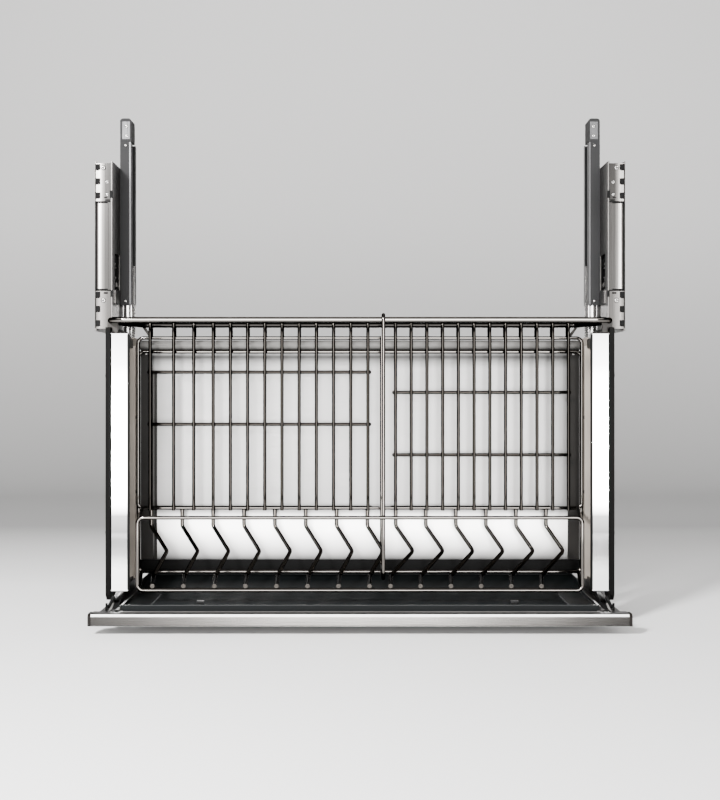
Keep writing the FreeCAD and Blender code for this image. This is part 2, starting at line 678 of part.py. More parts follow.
# Spring spool: drum with the coiled balance band, running on the cap's axle.
def spring_spool(word, side):
    start = COLUMN_EDGE + " + (column_depth - spool_width) / 2"
    flange = "(spool_width / 8)"
    drum = peg(word + "_spool_drum", "x", span(side, start, "spool_width"), CAP_MIDDLE, SPOOL_LEVEL,
               "spool_radius", "spool_width")
    near = peg(word + "_spool_near", "x", span(side, start, flange), CAP_MIDDLE, SPOOL_LEVEL,
               "spool_radius + cap_wall", flange)
    far = peg(word + "_spool_far", "x", span(side, start + " + spool_width - " + flange, flange), CAP_MIDDLE,
              SPOOL_LEVEL, "spool_radius + cap_wall", flange)
    bore = peg(word + "_spool_bore", "x", span(side, start + " - 1", "spool_width + 2"), CAP_MIDDLE,
               SPOOL_LEVEL, "spool_pin + running_clearance", "spool_width + 2")
    node(word + "_spring_spool", cut(word + "_spring_spool", fuse(word + "_spool_whole", [drum, near, far]),
                                     [bore]))


# Latch: hook that swings out through the cheek's window into the slot of the side plate.
def latch(word, side):
    outlined = [("2", "1.6 * latch_pin"), ("-1.6", "1.6 * latch_pin"), ("-2.2", "-0.5 * latch_reach"),
                ("-3", "-0.62 * latch_reach"), ("-3", "-0.9 * latch_reach"), ("-1.4", "-latch_reach"),
                ("0.6", "-0.75 * latch_reach"), ("2", "-0.1 * latch_reach")]
    sign = "" if side > 0 else "-"
    corners = [("{}({} * latch_pin)".format(sign, across), along) for across, along in outlined]
    item = plate(word + "_latch", "XY_Plane", "latch_gauge", corners,
                 [("0", "0", "latch_pin + running_clearance")])
    place(item, span(side, CHEEK_FACE + " + latch_side", "0"), "unit_front + latch_back", LATCH_LEVEL)
    node(word + "_latch", item)


# Small fixed hardware of a lift unit: latch pin, column screws, bracket screws and channel rivets.
def unit_fasteners(word, side):
    items = [peg(word + "_latch_pin", "z", span(side, CHEEK_FACE + " + latch_side", "0"),
                 "unit_front + latch_back", LATCH_LEVEL + " - 3 * sheet_gauge",
                 "latch_pin - running_clearance", "latch_gauge + 6 * sheet_gauge")]
    for i, level in enumerate(("column_foot + 3 * screw_head", "unit_foot + unit_height - 4 * screw_head")):
        head = peg("{}_column_head_{}".format(word, i), "x", span(side, CHEEK_FACE + " + sheet_gauge",
                                                                "head_height"),
                   COLUMN_MIDDLE, level, "screw_head", "head_height")
        length = "channel_wall + sheet_gauge + head_height / 2"
        shank = peg("{}_column_shank_{}".format(word, i), "x",
                    span(side, CHEEK_FACE + " - channel_wall", length), COLUMN_MIDDLE, level,
                    "screw_shank", length)
        items.append(fuse("{}_column_screw_{}".format(word, i), [head, shank]))
    middle = span(side, CHEEK_FACE + " + unit_thickness / 2", "0")
    for name, foot in (("upper", UPPER_FOOT), ("lower", LOWER_FOOT)):
        level = bracket_screw_level(name, foot)
        head = peg("{}_{}_head".format(word, name), "y", middle, "unit_front - head_height", level,
                   "screw_head", "head_height")
        shank = peg("{}_{}_shank".format(word, name), "y", middle, "unit_front - head_height / 2", level,
                    "screw_shank", "head_height / 2 + 4 * sheet_gauge")
        items.append(fuse("{}_{}_screw".format(word, name), [head, shank]))
    for i, level in enumerate(RIVET_LEVELS):
        x = span(side, CHEEK_FACE + " - column_depth / 2", "0")
        head = peg("{}_rivet_head_{}".format(word, i), "y", x, "column_front - head_height", level,
                   "small_head", "head_height")
        shank = peg("{}_rivet_shank_{}".format(word, i), "y", x, "column_front - head_height / 2", level,
                    "small_shank", "head_height / 2 + channel_wall")
        items.append(fuse("{}_rivet_{}".format(word, i), [head, shank]))
    node(word + "_unit_fasteners", group(word + "_unit_fasteners", items))


# Side plate: thin dark board outside the front post, with the latch slot.
def side_plate(word, side):
    corners = [("0", "side_taper"), ("side_taper", "0"), ("side_depth - 4 * side_taper", "0"),
               ("side_depth", "4 * side_taper"), ("side_depth", "side_height"), ("0", "side_height")]
    slot_y = "unit_front + latch_back - side_front - latch_reach - latch_pin"
    slot_z = LATCH_LEVEL + " - lift_travel - side_foot"
    slot_top = slot_z + " + latch_gauge + 2 * latch_pin"
    slot = [(slot_y, slot_z + " - 2 * latch_pin"), (slot_y + " + latch_reach", slot_z + " - 2 * latch_pin"),
            (slot_y + " + latch_reach", slot_top), (slot_y, slot_top)]
    holes = [("post_front - side_front + post_depth / 2", level + " - side_foot",
              "screw_shank + running_clearance") for level in POST_SCREWS]
    item = plate(word + "_side_plate", "YZ_Plane", "side_gauge", corners, holes, [slot])
    place(item, span(side, POST_OUTER, "side_gauge"), "side_front", "side_foot")
    node(word + "_side_plate", item)


POST_OUTER = "(post_inner + post_width)"
POST_SCREWS = ["(post_foot + post_screw_low)", "(post_foot + post_screw_high)"]


# Front post: bright rectangular tube.
def front_post(word, side):
    outer = block(word + "_post_outer", span(side, "post_inner", "post_width"), "post_front", "post_foot",
                  "post_width", "post_depth", "post_height")
    inner = block(word + "_post_bore", span(side, "post_inner + post_wall", "post_width - 2 * post_wall"),
                  "post_front + post_wall", "post_foot - 1", "post_width - 2 * post_wall",
                  "post_depth - 2 * post_wall", "post_height + 2")
    tools = [inner]
    for i, level in enumerate(POST_SCREWS):
        tools.append(peg("{}_post_hole_{}".format(word, i), "x",
                         span(side, POST_OUTER + " - post_wall - 1", "post_wall + 2"),
                         "post_front + post_depth / 2", level, "screw_shank + running_clearance",
                         "post_wall + 2"))
    node(word + "_front_post", cut(word + "_front_post", outer, tools))


def post_plugs():
    items = []
    for word, side in SIDES:
        for name, level in (("foot", "post_foot"), ("top", POST_TOP + " - 4 * side_gauge")):
            width = "post_width - 2 * post_wall - 2 * running_clearance"
            items.append(block("{}_plug_{}".format(word, name),
                               span(side, "post_inner + post_wall + running_clearance", width),
                               "post_front + post_wall + running_clearance", level, width,
                               "post_depth - 2 * post_wall - 2 * running_clearance", "4 * side_gauge"))
    node("post_plugs", group("post_plugs", items))


# Carriage post: flat upright with a strip along its front, screwed to the inner stage.
RAIL_INNER = MOUNT_FACE + " - carriage_gauge"
RAIL_LEVELS = ["post_foot + 2 * sheet_gauge - rail_height", "carriage_top - rail_height - sheet_gauge"]


def carriage_post(word, side):
    bar = block(word + "_carriage_bar", span(side, RAIL_INNER, "carriage_gauge"), "carriage_front",
                RUNNER_FOOT, "carriage_gauge", "carriage_depth", "carriage_top - " + RUNNER_FOOT)
    strip = block(word + "_carriage_strip", span(side, "fascia_inner", "fascia_width"), "carriage_front",
                  "fascia_foot", "fascia_width", "fascia_gauge", "fascia_height")
    raw = fuse(word + "_carriage_whole", [bar, strip])
    holes = []
    for i, level in enumerate(CARRIAGE_LEVELS):
        holes.append(peg("{}_carriage_hole_{}".format(word, i), "x",
                         span(side, RAIL_INNER + " - 1", "carriage_gauge + 2"), CARRIAGE_SCREW, level,
                         "screw_shank + running_clearance", "carriage_gauge + 2"))
    node(word + "_carriage_post", cut(word + "_carriage_post", raw, holes))


def side_rails():
    items = []
    length = "carriage_front - " + POST_REAR
    for word, side in SIDES:
        x = span(side, RAIL_INNER, "carriage_gauge")
        for i, level in enumerate(RAIL_LEVELS):
            items.append(block("{}_rail_{}".format(word, i), x, POST_REAR, level,
                               "carriage_gauge", length, "rail_height"))
    node("side_rails", group("side_rails", items))


def rear_post(word, side):
    raw = block(word + "_rear_bar", span(side, "rear_post_inner", "rear_post_width"), BAR_REAR,
                "low_bar_foot", "rear_post_width", "rear_post_depth",
                "top_bar_foot + top_bar_height - low_bar_foot")
    groove = block(word + "_rear_groove",
                   span(side, "rear_post_inner + channel_wall", "rear_post_width - 2 * channel_wall"),
                   BAR_REAR + " + channel_wall", "low_bar_foot - 1", "rear_post_width - 2 * channel_wall",
                   "rear_post_depth", "top_bar_foot + top_bar_height - low_bar_foot + 2")
    hole = peg(word + "_rear_hole", "y", span(side, "rear_post_inner + rear_post_width / 2", "0"),
               BAR_REAR + " - 1", "top_bar_foot - 3 * small_head", "small_shank + running_clearance",
               "channel_wall + 2")
    node(word + "_rear_post", cut(word + "_rear_post", raw, [groove, hole]))


def rear_crossbars():
    items = []
    for name, foot, height in (("top", "top_bar_foot", "top_bar_height"),
                               ("low", "low_bar_foot", "low_bar_height")):
        items.append(block("crossbar_" + name, "-" + MOUNT_FACE, CARRIAGE_REAR, foot, "2 * " + MOUNT_FACE,
                           "crossbar_gauge", height))
    node("top_crossbar", items[0])
    node("low_crossbar", items[1])


def back_panel():
    corners = [("-panel_half", "0"), ("panel_half", "0"), ("panel_half", "panel_height"),
               ("-panel_half", "panel_height")]
    body = doc.addObject("PartDesign::Body", "back_panel")
    sketch = sketch_on(body, "back_panel_outline", "XZ_Plane")
    outline(sketch, corners)
    pad = body.newObject("PartDesign::Pad", "back_panel_pad")
    pad.Profile = sketch
    pad.Reversed = True
    pad.setExpression("Length", bound("panel_gauge"))
    body.Tip = pad
    place(body, "0", BAR_REAR, "panel_foot")
    node("back_panel", body)


# Handle bar: bevelled channel across the front, open at the back, with a cap at each end.
def handle():
    inner = "handle_wall"
    depth = "handle_depth"
    tall = "handle_height"
    lip = depth + " - " + inner
    under = tall + " - " + inner
    corners = [("0", "0"), (depth, "0"), (depth, "3 * " + inner), (lip, "3 * " + inner), (lip, inner),
               (inner, inner), (inner, tall + " - handle_bevel - " + inner + " / 2"),
               ("handle_bevel + " + inner + " / 2", under), (lip, under), (lip, tall + " - 3 * " + inner),
               (depth, tall + " - 3 * " + inner), (depth, tall), ("handle_bevel", tall),
               ("0", tall + " - handle_bevel")]
    item = plate("handle", "YZ_Plane", "handle_length - 2 * end_cap", corners)
    place(item, "end_cap - handle_length / 2", "0", "handle_foot")
    node("handle", item)
    cap_corners = [("0", "0"), (depth, "0"), (depth, tall), ("handle_bevel", tall),
                   ("0", tall + " - handle_bevel")]
    caps = []
    for word, x in (("left", "-handle_length / 2"), ("right", "handle_length / 2 - end_cap")):
        cap = plate(word + "_handle_end", "YZ_Plane", "end_cap", cap_corners)
        caps.append(place(cap, x, "0", "handle_foot"))
    node("handle_end_caps", group("handle_end_caps", caps))


# Handle bracket: upright strut from the handle's back to the front post's foot, with a flat gusset on top.
def handle_bracket(word, side):
    strut = plate(word + "_strut", "YZ_Plane", "strut_gauge",
                  [("handle_depth", "handle_foot + handle_wall"), (POST_REAR, "side_foot"),
                   (POST_REAR, "post_foot"), ("post_front", "post_foot"), ("2 * handle_depth", HANDLE_TOP),
                   ("handle_depth", HANDLE_TOP)])
    place(strut, span(side, "strut_inner", "strut_gauge"), "0", "0")
    gusset = plate(word + "_gusset", "XY_Plane", "handle_wall", gusset_corners(side))
    place(gusset, "0", "0", HANDLE_TOP + " - handle_wall")
    node(word + "_handle_bracket", fuse(word + "_handle_bracket", [strut, gusset]))


def gusset_corners(side):
    """Triangular flat behind the handle's end, in plan."""
    sign = "" if side > 0 else "-"
    return [(sign + "strut_inner", "handle_depth"), (sign + "(handle_length / 2 - end_cap)", "handle_depth"),
            (sign + "(handle_length / 2 - end_cap)", "handle_depth + 2 * handle_wall"),
            (sign + "(strut_inner + 2 * strut_gauge)", "handle_depth + 2 * handle_wall"),
            (sign + "(strut_inner + 2 * strut_gauge)", "handle_depth + gusset_depth"),
            (sign + "strut_inner", "handle_depth + gusset_depth")]


# Ring brackets: saddles behind the front posts that carry the top ring.
def ring_brackets():
    inner = "(" + MOUNT_FACE + " + seat_gap)"
    width = "(" + POST_OUTER + " - seat_gap - " + inner + ")"
    side_top = "(side_foot + side_height + seat_gap)"
    saddles = []
    for word, side in SIDES:
        stem = block(word + "_saddle_stem", span(side, inner, width), POST_REAR,
                     POST_TOP + " - 4 * ring_tube", width, "ring_tube", "ring_rise + 4 * ring_tube")
        head = block(word + "_saddle_head", span(side, inner, width + " + side_gauge"), POST_REAR, side_top,
                     width + " + side_gauge", "ring_tube", RING_LEVEL + " - " + side_top)
        raw = fuse(word + "_saddle_block", [stem, head])
        tube = peg(word + "_saddle_bore", "y", span(side, "ring_half", "0"), POST_REAR + " - 1", RING_LEVEL,
                   "ring_tube + running_clearance", "ring_tube + 2")
        saddles.append(cut(word + "_saddle", raw, [tube]))
    node("ring_brackets", group("ring_brackets", saddles))


def ring_level():
    """Centre of the top ring's tube."""
    return mm("post_foot") + mm("post_height") + mm("ring_rise")


# Top ring: one closed loop of bright tube.
def top_ring():
    half = mm("ring_half")
    level = ring_level()
    front = mm("ring_front")
    rear = mm("ring_rear")
    neck = mm("ring_neck_half")
    outline_points = [(half, front), (half, mm("ring_neck_front")), (neck, mm("ring_neck_rear")),
                      (neck, rear)]
    outline_bends = [mm("ring_front_bend"), mm("ring_neck_bend"), mm("ring_neck_bend"), mm("ring_rear_bend")]
    points = [(x, y, level) for x, y in outline_points]
    points += [(-x, y, level) for x, y in reversed(outline_points)]
    bends = outline_bends + outline_bends[::-1]
    node("top_ring", feature("top_ring", wire_solid(points, bends, mm("ring_tube"), True)))


# Upright wire frames: closed loops of thicker wire in three planes.
def upright_loop(half, plane, low, high):
    points = [(-half, plane, low), (half, plane, low), (half, plane, high), (-half, plane, high)]
    return wire_solid(points, mm("frame_bend"), mm("frame_wire"), True)


def hook_bend():
    """Radius of the hooks that go round the ring's tube."""
    return mm("ring_tube") + mm("plate_wire") + mm("hook_clearance")


def fence_plane():
    """Plane of the fence wires, whose hooks go round the rear run of the ring."""
    return mm("ring_rear") - hook_bend()


def rear_plane():
    """Plane of the rear wire frame, just behind the fence."""
    return fence_plane() + mm("plate_wire") + mm("frame_wire") + mm("seat_gap")


def inner_plane():
    """Plane of the inner wire frame, just behind the rear one."""
    return rear_plane() + 2 * mm("frame_wire") + mm("seat_gap")


def wire_frames():
    node("rear_wire_frame", feature("rear_wire_frame", upright_loop(
        mm("frame_half"), rear_plane(), mm("rear_low"), mm("rear_top"))))
    node("inner_wire_frame", feature("inner_wire_frame", upright_loop(
        mm("frame_half"), inner_plane(), mm("inner_low"), mm("inner_top"))))
    loop = upright_loop(mm("guard_half"), mm("guard_plane"), mm("guard_low"), mm("guard_top"))
    arms = []
    for side in (-1, 1):
        for level in (mm("guard_low"), mm("guard_top")):
            start = (side * mm("guard_half"), mm("guard_plane"), level)
            end = (side * (mm("frame_half") - 2 * mm("frame_wire") - mm("seat_gap")),
                   rear_plane() - mm("frame_wire") - 2 * mm("seat_gap"), level)
            bend = mm("frame_bend")
            inset = (side * (mm("guard_half") - (bend - bend * math.sqrt(0.5))), mm("guard_plane"),
                     level + (bend - bend * math.sqrt(0.5)) * (1 if level < mm("guard_top") else -1))
            arms.append(rod_solid(inset, (end[0], end[1], inset[2]), mm("frame_wire")))
    node("front_wire_frame", feature("front_wire_frame", weld([loop] + arms)))


# Plate fence: wires that hook over the ring's rear run, spot-welded to two cross wires.
def fence(word, places, high, low):
    plane = fence_plane()
    over = ring_level() + hook_bend()
    tail = plane + 2 * hook_bend()
    solids = []
    for x in places:
        points = [(x, tail, ring_level() - mm("fence_drop")), (x, tail, over), (x, plane, over),
                  (x, plane, mm("fence_end"))]
        solids.append(wire_solid(points, hook_bend() - SHORTEST_RUN, mm("plate_wire")))
    behind = plane + 2 * mm("plate_wire") + mm("weld_gap")
    for level in (high, low):
        solids.append(rod_solid((places[0] - mm("plate_wire"), behind, level),
                                (places[-1] + mm("plate_wire"), behind, level), mm("plate_wire")))
    node(word + "_fence", feature(word + "_fence", Part.makeCompound(solids)))


# Counts of wires, and of the left fence's evenly spaced ones.
LEFT_FENCE_EVEN = 9
RIGHT_FENCE_WIRES = 12
LEFT_FLOOR_WIRES = 8
RIGHT_FLOOR_WIRES = 6


def fences():
    places = [mm("left_fence_start")]
    for alias in ("left_wide_one", "left_wide_two", "left_wide_three"):
        places.append(places[-1] + mm(alias))
    for i in range(LEFT_FENCE_EVEN):
        places.append(places[-1] + mm("left_pitch"))
    fence("left", places, mm("left_cross_high"), mm("left_cross_low"))
    places = [mm("right_fence_start") + i * mm("right_pitch") for i in range(RIGHT_FENCE_WIRES)]
    fence("right", places, mm("right_cross_high"), mm("right_cross_low"))


# Floor mat: kinked wires that come down behind the rear rail and run forward over the front rail.
def floor_mat(word, places):
    top_plane = rear_plane() + mm("frame_wire") + mm("floor_wire") + mm("seat_gap")
    floor = mm("guard_low") + mm("frame_wire") + mm("floor_wire") + mm("seat_gap")
    taper = mm("guard_half") / mm("frame_half")
    depth = top_plane - mm("guard_plane")
    solids = []
    rear_row = []
    front_row = []

    def drawn_in(x, y, shift):
        return x * (1 - (1 - taper) * (top_plane - y) / depth) + mm("{}_{}_shift".format(word, shift))

    for x in places:
        points = [(x, top_plane, mm("rear_low") + mm("plate_wire") / 2),
                  (x, top_plane, mm("knee_high")),
                  (drawn_in(x, mm("knee_plane"), "knee"), mm("knee_plane"), mm("knee_middle")),
                  (drawn_in(x, mm("floor_rear"), "foot"), mm("floor_rear"), floor),
                  (drawn_in(x, mm("guard_plane"), "front"), mm("guard_plane"), floor)]
        solids.append(wire_solid(points, mm("floor_bend"), mm("floor_wire")))
        rear_row.append(points[0])
        front_row.append(points[-1])
    beside = mm("floor_wire") + mm("plate_wire") + mm("weld_gap")
    reach = 2 * mm("plate_wire")
    solids.append(rod_solid((rear_row[0][0] - reach, top_plane + beside, mm("rear_low")),
                            (rear_row[-1][0] + reach, top_plane + beside, mm("rear_low")), mm("plate_wire")))
    front = mm("guard_plane") + mm("frame_wire") + mm("plate_wire") + mm("seat_gap")
    solids.append(rod_solid((front_row[0][0] - reach, front, floor - beside),
                            (front_row[-1][0] + reach, front, floor - beside), mm("plate_wire")))
    node(word + "_floor_mat", feature(word + "_floor_mat", Part.makeCompound(solids)))


def floor_mats():
    places = [mm("left_floor_start") + i * mm("left_floor_pitch") for i in range(LEFT_FLOOR_WIRES)]
    floor_mat("left", places)
    places = [mm("right_floor_start") + i * mm("right_floor_pitch") for i in range(RIGHT_FLOOR_WIRES)]
    floor_mat("right", places)


# Centre divider: one wire hooked over the ring's front run, down, back over the floor wires and up.
def divider():
    x = mm("divider_place")
    reach = hook_bend()
    front = mm("ring_front") - reach
    back = mm("ring_front") + reach
    over = ring_level() + reach
    floor = (mm("guard_low") + mm("frame_wire") + 2 * mm("floor_wire") + 2 * mm("plate_wire")
             + 2 * mm("seat_gap"))
    rear = mm("divider_rear")
    points = [(x, back, ring_level() - mm("hook_drop")), (x, back, over), (x, front, over), (x, front, floor),
              (x, rear, floor), (x, rear, mm("rear_top") + mm("frame_wire"))]
    bend = mm("divider_bend")
    bends = [0, reach - SHORTEST_RUN, reach - SHORTEST_RUN, bend, bend, 0]
    node("centre_divider", feature("centre_divider", wire_solid(points, bends, mm("plate_wire"))))


# Drip tray: shallow moulded tray, higher at the back, with ribs on its floor and a ramp up to its rear rim.
def drip_tray():
    low_rise = "(tray_rim - tray_foot)"
    high_rise = "(tray_back - tray_foot)"
    side_view = [("0", "0"), ("tray_depth", "0"), ("tray_depth", high_rise), ("tray_slope_end", high_rise),
                 ("tray_slope_start", low_rise), ("0", low_rise)]
    whole = plate("tray_whole", "YZ_Plane", "2 * tray_half", side_view)
    place(whole, "-tray_half", "tray_front", "tray_foot")
    tools = [block("tray_hollow", "tray_wall - tray_half", "tray_front + tray_wall", "tray_foot + tray_wall",
                   "2 * (tray_half - tray_wall)", "tray_depth - 2 * tray_wall", "tray_back")]
    shell = cut("tray_shell", whole, tools)
    ribs = []
    count = int(mm("tray_ramp") / mm("rib_pitch")) - 3
    for i in range(count):
        rib = block("tray_rib_{}".format(i), "rib_margin - tray_half",
                    "tray_front + tray_wall + rib_pitch * {}".format(i + 1.5), "tray_foot + tray_wall / 2",
                    "2 * (tray_half - rib_margin)", "tray_wall", "tray_wall / 2 + rib_height")
        ribs.append(rib)
    ramp = plate("tray_ramp_sheet", "YZ_Plane", "2 * tray_half - tray_wall",
                 [("tray_ramp", "tray_wall / 2"), ("tray_ramp + 3 * tray_wall", "tray_wall / 2"),
                  ("tray_depth - tray_wall / 2", high_rise + " - 3 * tray_wall"),
                  ("tray_depth - tray_wall / 2", high_rise + " - tray_wall")])
    place(ramp, "tray_wall / 2 - tray_half", "tray_front", "tray_foot")
    node("drip_tray", fuse("drip_tray", [shell, ramp] + ribs))


def tray_clips():
    items = []
    for word, x in (("left", "-clip_left"), ("right", "clip_right")):
        items.append(block(word + "_tray_clip", x + " - 3 * tray_wall",
                           "tray_front + tray_wall + 3 * rib_pitch + tray_wall + running_clearance",
                           "tray_foot + tray_wall + running_clearance", "6 * tray_wall",
                           "rib_pitch / 2 - tray_wall - 2 * running_clearance", "3 * tray_wall"))
    node("tray_clips", group("tray_clips", items))


# Tray runner: folded ledge under the tray's edge with a low guide; behind the front post it spreads to a web
# against the side rail.
def tray_runner(word, side):
    sign = "" if side > 0 else "-"
    low = "(tray_foot - seat_gap - runner_gauge)"
    ledge = "(tray_foot - seat_gap)"
    guide = "(tray_half + 2 * seat_gap)"
    top = "(post_foot - seat_gap)"
    near = "(strut_inner - seat_gap)"

    def at(text):
        return sign + "(" + text + ")"

    front = [(at(near + " - runner_ledge"), low), (at(near), low), (at(near), ledge),
             (at(guide + " + runner_gauge"), ledge), (at(guide + " + runner_gauge"), ledge + " + tray_guide"),
             (at(guide), ledge + " + tray_guide"), (at(guide), ledge), (at(near + " - runner_ledge"), ledge)]
    rear = [(at(near + " - tray_guide"), low), (at(RAIL_INNER), low), (at(RAIL_INNER), top),
            (at(RAIL_INNER + " - runner_gauge"), top), (at(RAIL_INNER + " - runner_gauge"), ledge),
            (at(near + " - tray_guide"), ledge)]
    lengths = []
    for name, corners, start in (("front", front, "handle_depth"), ("rear", rear, POST_REAR + " + seat_gap")):
        body = doc.addObject("PartDesign::Body", "{}_runner_{}".format(word, name))
        sketch = sketch_on(body, "{}_runner_{}_outline".format(word, name), "XZ_Plane")
        outline(sketch, corners)
        pad = body.newObject("PartDesign::Pad", "{}_runner_{}_pad".format(word, name))
        pad.Profile = sketch
        pad.Reversed = True
        pad.setExpression("Length", bound(CARRIAGE_REAR + " - (" + start + ")"))
        body.Tip = pad
        lengths.append(place(body, "0", start, "0"))
    node(word + "_tray_runner", fuse(word + "_tray_runner", lengths))


# Screws of the rack: side plates to posts, carriage posts to the columns, rear posts.
def rack_fasteners():
    items = []
    for word, side in SIDES:
        for i, level in enumerate(POST_SCREWS):
            depth = "side_gauge + post_wall"
            head = peg("{}_side_head_{}".format(word, i), "x",
                       span(side, POST_OUTER + " + side_gauge", "head_height"), "post_front + post_depth / 2",
                       level, "screw_head", "head_height")
            shank = peg("{}_side_shank_{}".format(word, i), "x",
                        span(side, POST_OUTER + " - post_wall", depth + " + head_height / 2"),
                        "post_front + post_depth / 2", level, "screw_shank", depth + " + head_height / 2")
            items.append(fuse("{}_side_screw_{}".format(word, i), [head, shank]))
        for i, level in enumerate(CARRIAGE_LEVELS):
            depth = "carriage_gauge + channel_wall"
            head = peg("{}_carriage_head_{}".format(word, i), "x",
                       span(side, RAIL_INNER + " - head_height", "head_height"), CARRIAGE_SCREW, level,
                       "screw_head - seat_gap", "head_height")
            shank = peg("{}_carriage_shank_{}".format(word, i), "x",
                        span(side, RAIL_INNER + " - head_height / 2", depth + " + head_height / 2"),
                        CARRIAGE_SCREW, level, "screw_shank", depth + " + head_height / 2")
            items.append(fuse("{}_carriage_screw_{}".format(word, i), [head, shank]))
        x = span(side, "rear_post_inner + rear_post_width / 2", "0")
        level = "top_bar_foot - 3 * small_head"
        head = peg(word + "_rear_head", "y", x, BAR_REAR + " - head_height", level,
                   "small_head", "head_height")
        shank = peg(word + "_rear_shank", "y", x, BAR_REAR + " - head_height / 2", level,
                    "small_shank", "head_height / 2 + channel_wall")
        items.append(fuse(word + "_rear_screw", [head, shank]))
    node("rack_fasteners", group("rack_fasteners", items))


for side_word, side_sign in SIDES:
    wall_plate(side_word, side_sign)
    cheek_plate(side_word, side_sign)
    end_bracket(side_word, side_sign, "upper", UPPER_FOOT)
    end_bracket(side_word, side_sign, "lower", LOWER_FOOT)
    damper_cover(side_word, side_sign)
    damper(side_word, side_sign)
    outer_channel(side_word, side_sign)
    column_cap(side_word, side_sign)
    spring_spool(side_word, side_sign)
    latch(side_word, side_sign)
    unit_fasteners(side_word, side_sign)
    middle_stage(side_word, side_sign)
    glides(side_word, side_sign)
    inner_stage(side_word, side_sign)
    side_plate(side_word, side_sign)
    front_post(side_word, side_sign)
    carriage_post(side_word, side_sign)
    rear_post(side_word, side_sign)
    handle_bracket(side_word, side_sign)
    tray_runner(side_word, side_sign)

post_plugs()
side_rails()
ring_brackets()
rear_crossbars()
back_panel()
handle()
top_ring()
wire_frames()
fences()
floor_mats()
divider()
drip_tray()
tray_clips()
rack_fasteners()

doc.recompute()

for item in doc.Objects:
    if "Invalid" in item.State or "Error" in item.State:
        raise RuntimeError("{} failed: {}".format(item.Name, item.State))
for item in NODES:
    if item.Shape.isNull() or not item.Shape.isValid():
        raise RuntimeError("{} has no valid shape".format(item.Label))

os.makedirs("parts", exist_ok=True)
for item in NODES:
    item.Shape.exportStep("parts/{}.step".format(item.Label))
    box = item.Shape.BoundBox
    print("{:24s} solids {:2d} volume {:10.0f} x {:7.1f} {:7.1f} y {:7.1f} {:7.1f} z {:7.1f} {:7.1f}".format(
        item.Label, len(item.Shape.Solids), item.Shape.Volume, box.XMin, box.XMax, box.YMin, box.YMax,
        box.ZMin, box.ZMax))
print("nodes", len(NODES))
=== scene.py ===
import bmesh
import bpy
import json
import math
from mathutils import Matrix, Vector


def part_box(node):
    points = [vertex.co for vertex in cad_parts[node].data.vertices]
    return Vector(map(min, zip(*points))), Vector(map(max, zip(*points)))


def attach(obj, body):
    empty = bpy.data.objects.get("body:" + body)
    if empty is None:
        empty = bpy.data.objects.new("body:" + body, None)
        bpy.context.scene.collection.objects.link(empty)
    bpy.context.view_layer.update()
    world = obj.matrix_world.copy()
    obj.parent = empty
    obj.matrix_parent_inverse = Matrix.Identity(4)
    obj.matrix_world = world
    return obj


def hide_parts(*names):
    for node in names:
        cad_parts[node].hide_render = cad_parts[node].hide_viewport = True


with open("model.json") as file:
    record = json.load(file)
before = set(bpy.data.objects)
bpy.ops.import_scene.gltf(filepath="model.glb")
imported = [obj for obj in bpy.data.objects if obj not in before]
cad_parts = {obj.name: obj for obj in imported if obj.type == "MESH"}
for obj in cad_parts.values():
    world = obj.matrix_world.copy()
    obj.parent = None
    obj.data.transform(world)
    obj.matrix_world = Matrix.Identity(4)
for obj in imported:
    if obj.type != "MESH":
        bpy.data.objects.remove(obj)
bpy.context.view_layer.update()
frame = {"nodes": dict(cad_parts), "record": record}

MM = 0.001
SIDES = (("left", -1), ("right", 1))
SLOT_OF = {entry["node"]: entry["material_slot"] for entry in frame["record"]["subparts"]}
BODY_OF = {name: body for body, names in frame["record"]["behaviour"]["bodies"].items() for name in names}

# The bench's corner: middle of the width, face of the handle, 3 mm below the handle's lower edge.
BENCH = Vector((0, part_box("handle")[0].y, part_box("handle")[0].z - 3 * MM))


def bench(x, y, z):
    """Point of the shared frame from millimetres on the bench."""
    return BENCH + Vector((x, y, z)) * MM


# Materials

def new_material(name, color, metallic, roughness):
    """Plain surface whose fixed numbers sit on the shader itself."""
    material = bpy.data.materials.new(name)
    material.use_nodes = True
    shader = material.node_tree.nodes["Principled BSDF"]
    shader.inputs["Base Color"].default_value = (*color, 1)
    shader.inputs["Metallic"].default_value = metallic
    shader.inputs["Roughness"].default_value = roughness
    return material, material.node_tree, shader


def noise(tree, scale, stretch=(1, 1, 1), detail=3.0):
    """Noise in the object's own metres, stretched along an axis where its factor is small."""
    place = tree.nodes.new("ShaderNodeTexCoord")
    mapping = tree.nodes.new("ShaderNodeMapping")
    mapping.inputs["Scale"].default_value = stretch
    texture = tree.nodes.new("ShaderNodeTexNoise")
    texture.inputs["Scale"].default_value = scale
    texture.inputs["Detail"].default_value = detail
    tree.links.new(place.outputs["Object"], mapping.inputs["Vector"])
    tree.links.new(mapping.outputs["Vector"], texture.inputs["Vector"])
    return texture.outputs["Fac"]


def spread(tree, value, low, high):
    """Noise turned into numbers between low and high."""
    ranged = tree.nodes.new("ShaderNodeMapRange")
    ranged.inputs["From Min"].default_value = 0.3
    ranged.inputs["From Max"].default_value = 0.7
    ranged.inputs["To Min"].default_value = low
    ranged.inputs["To Max"].default_value = high
    tree.links.new(value, ranged.inputs["Value"])
    return ranged.outputs["Result"]


def tint(tree, shader, value, dark, light):
    """Base colour that drifts between two shades."""
    ramp = tree.nodes.new("ShaderNodeValToRGB")
    ramp.color_ramp.elements[0].position = 0.3
    ramp.color_ramp.elements[0].color = (*dark, 1)
    ramp.color_ramp.elements[1].position = 0.7
    ramp.color_ramp.elements[1].color = (*light, 1)
    tree.links.new(value, ramp.inputs["Fac"])
    tree.links.new(ramp.outputs["Color"], shader.inputs["Base Color"])
    return ramp.outputs["Color"]


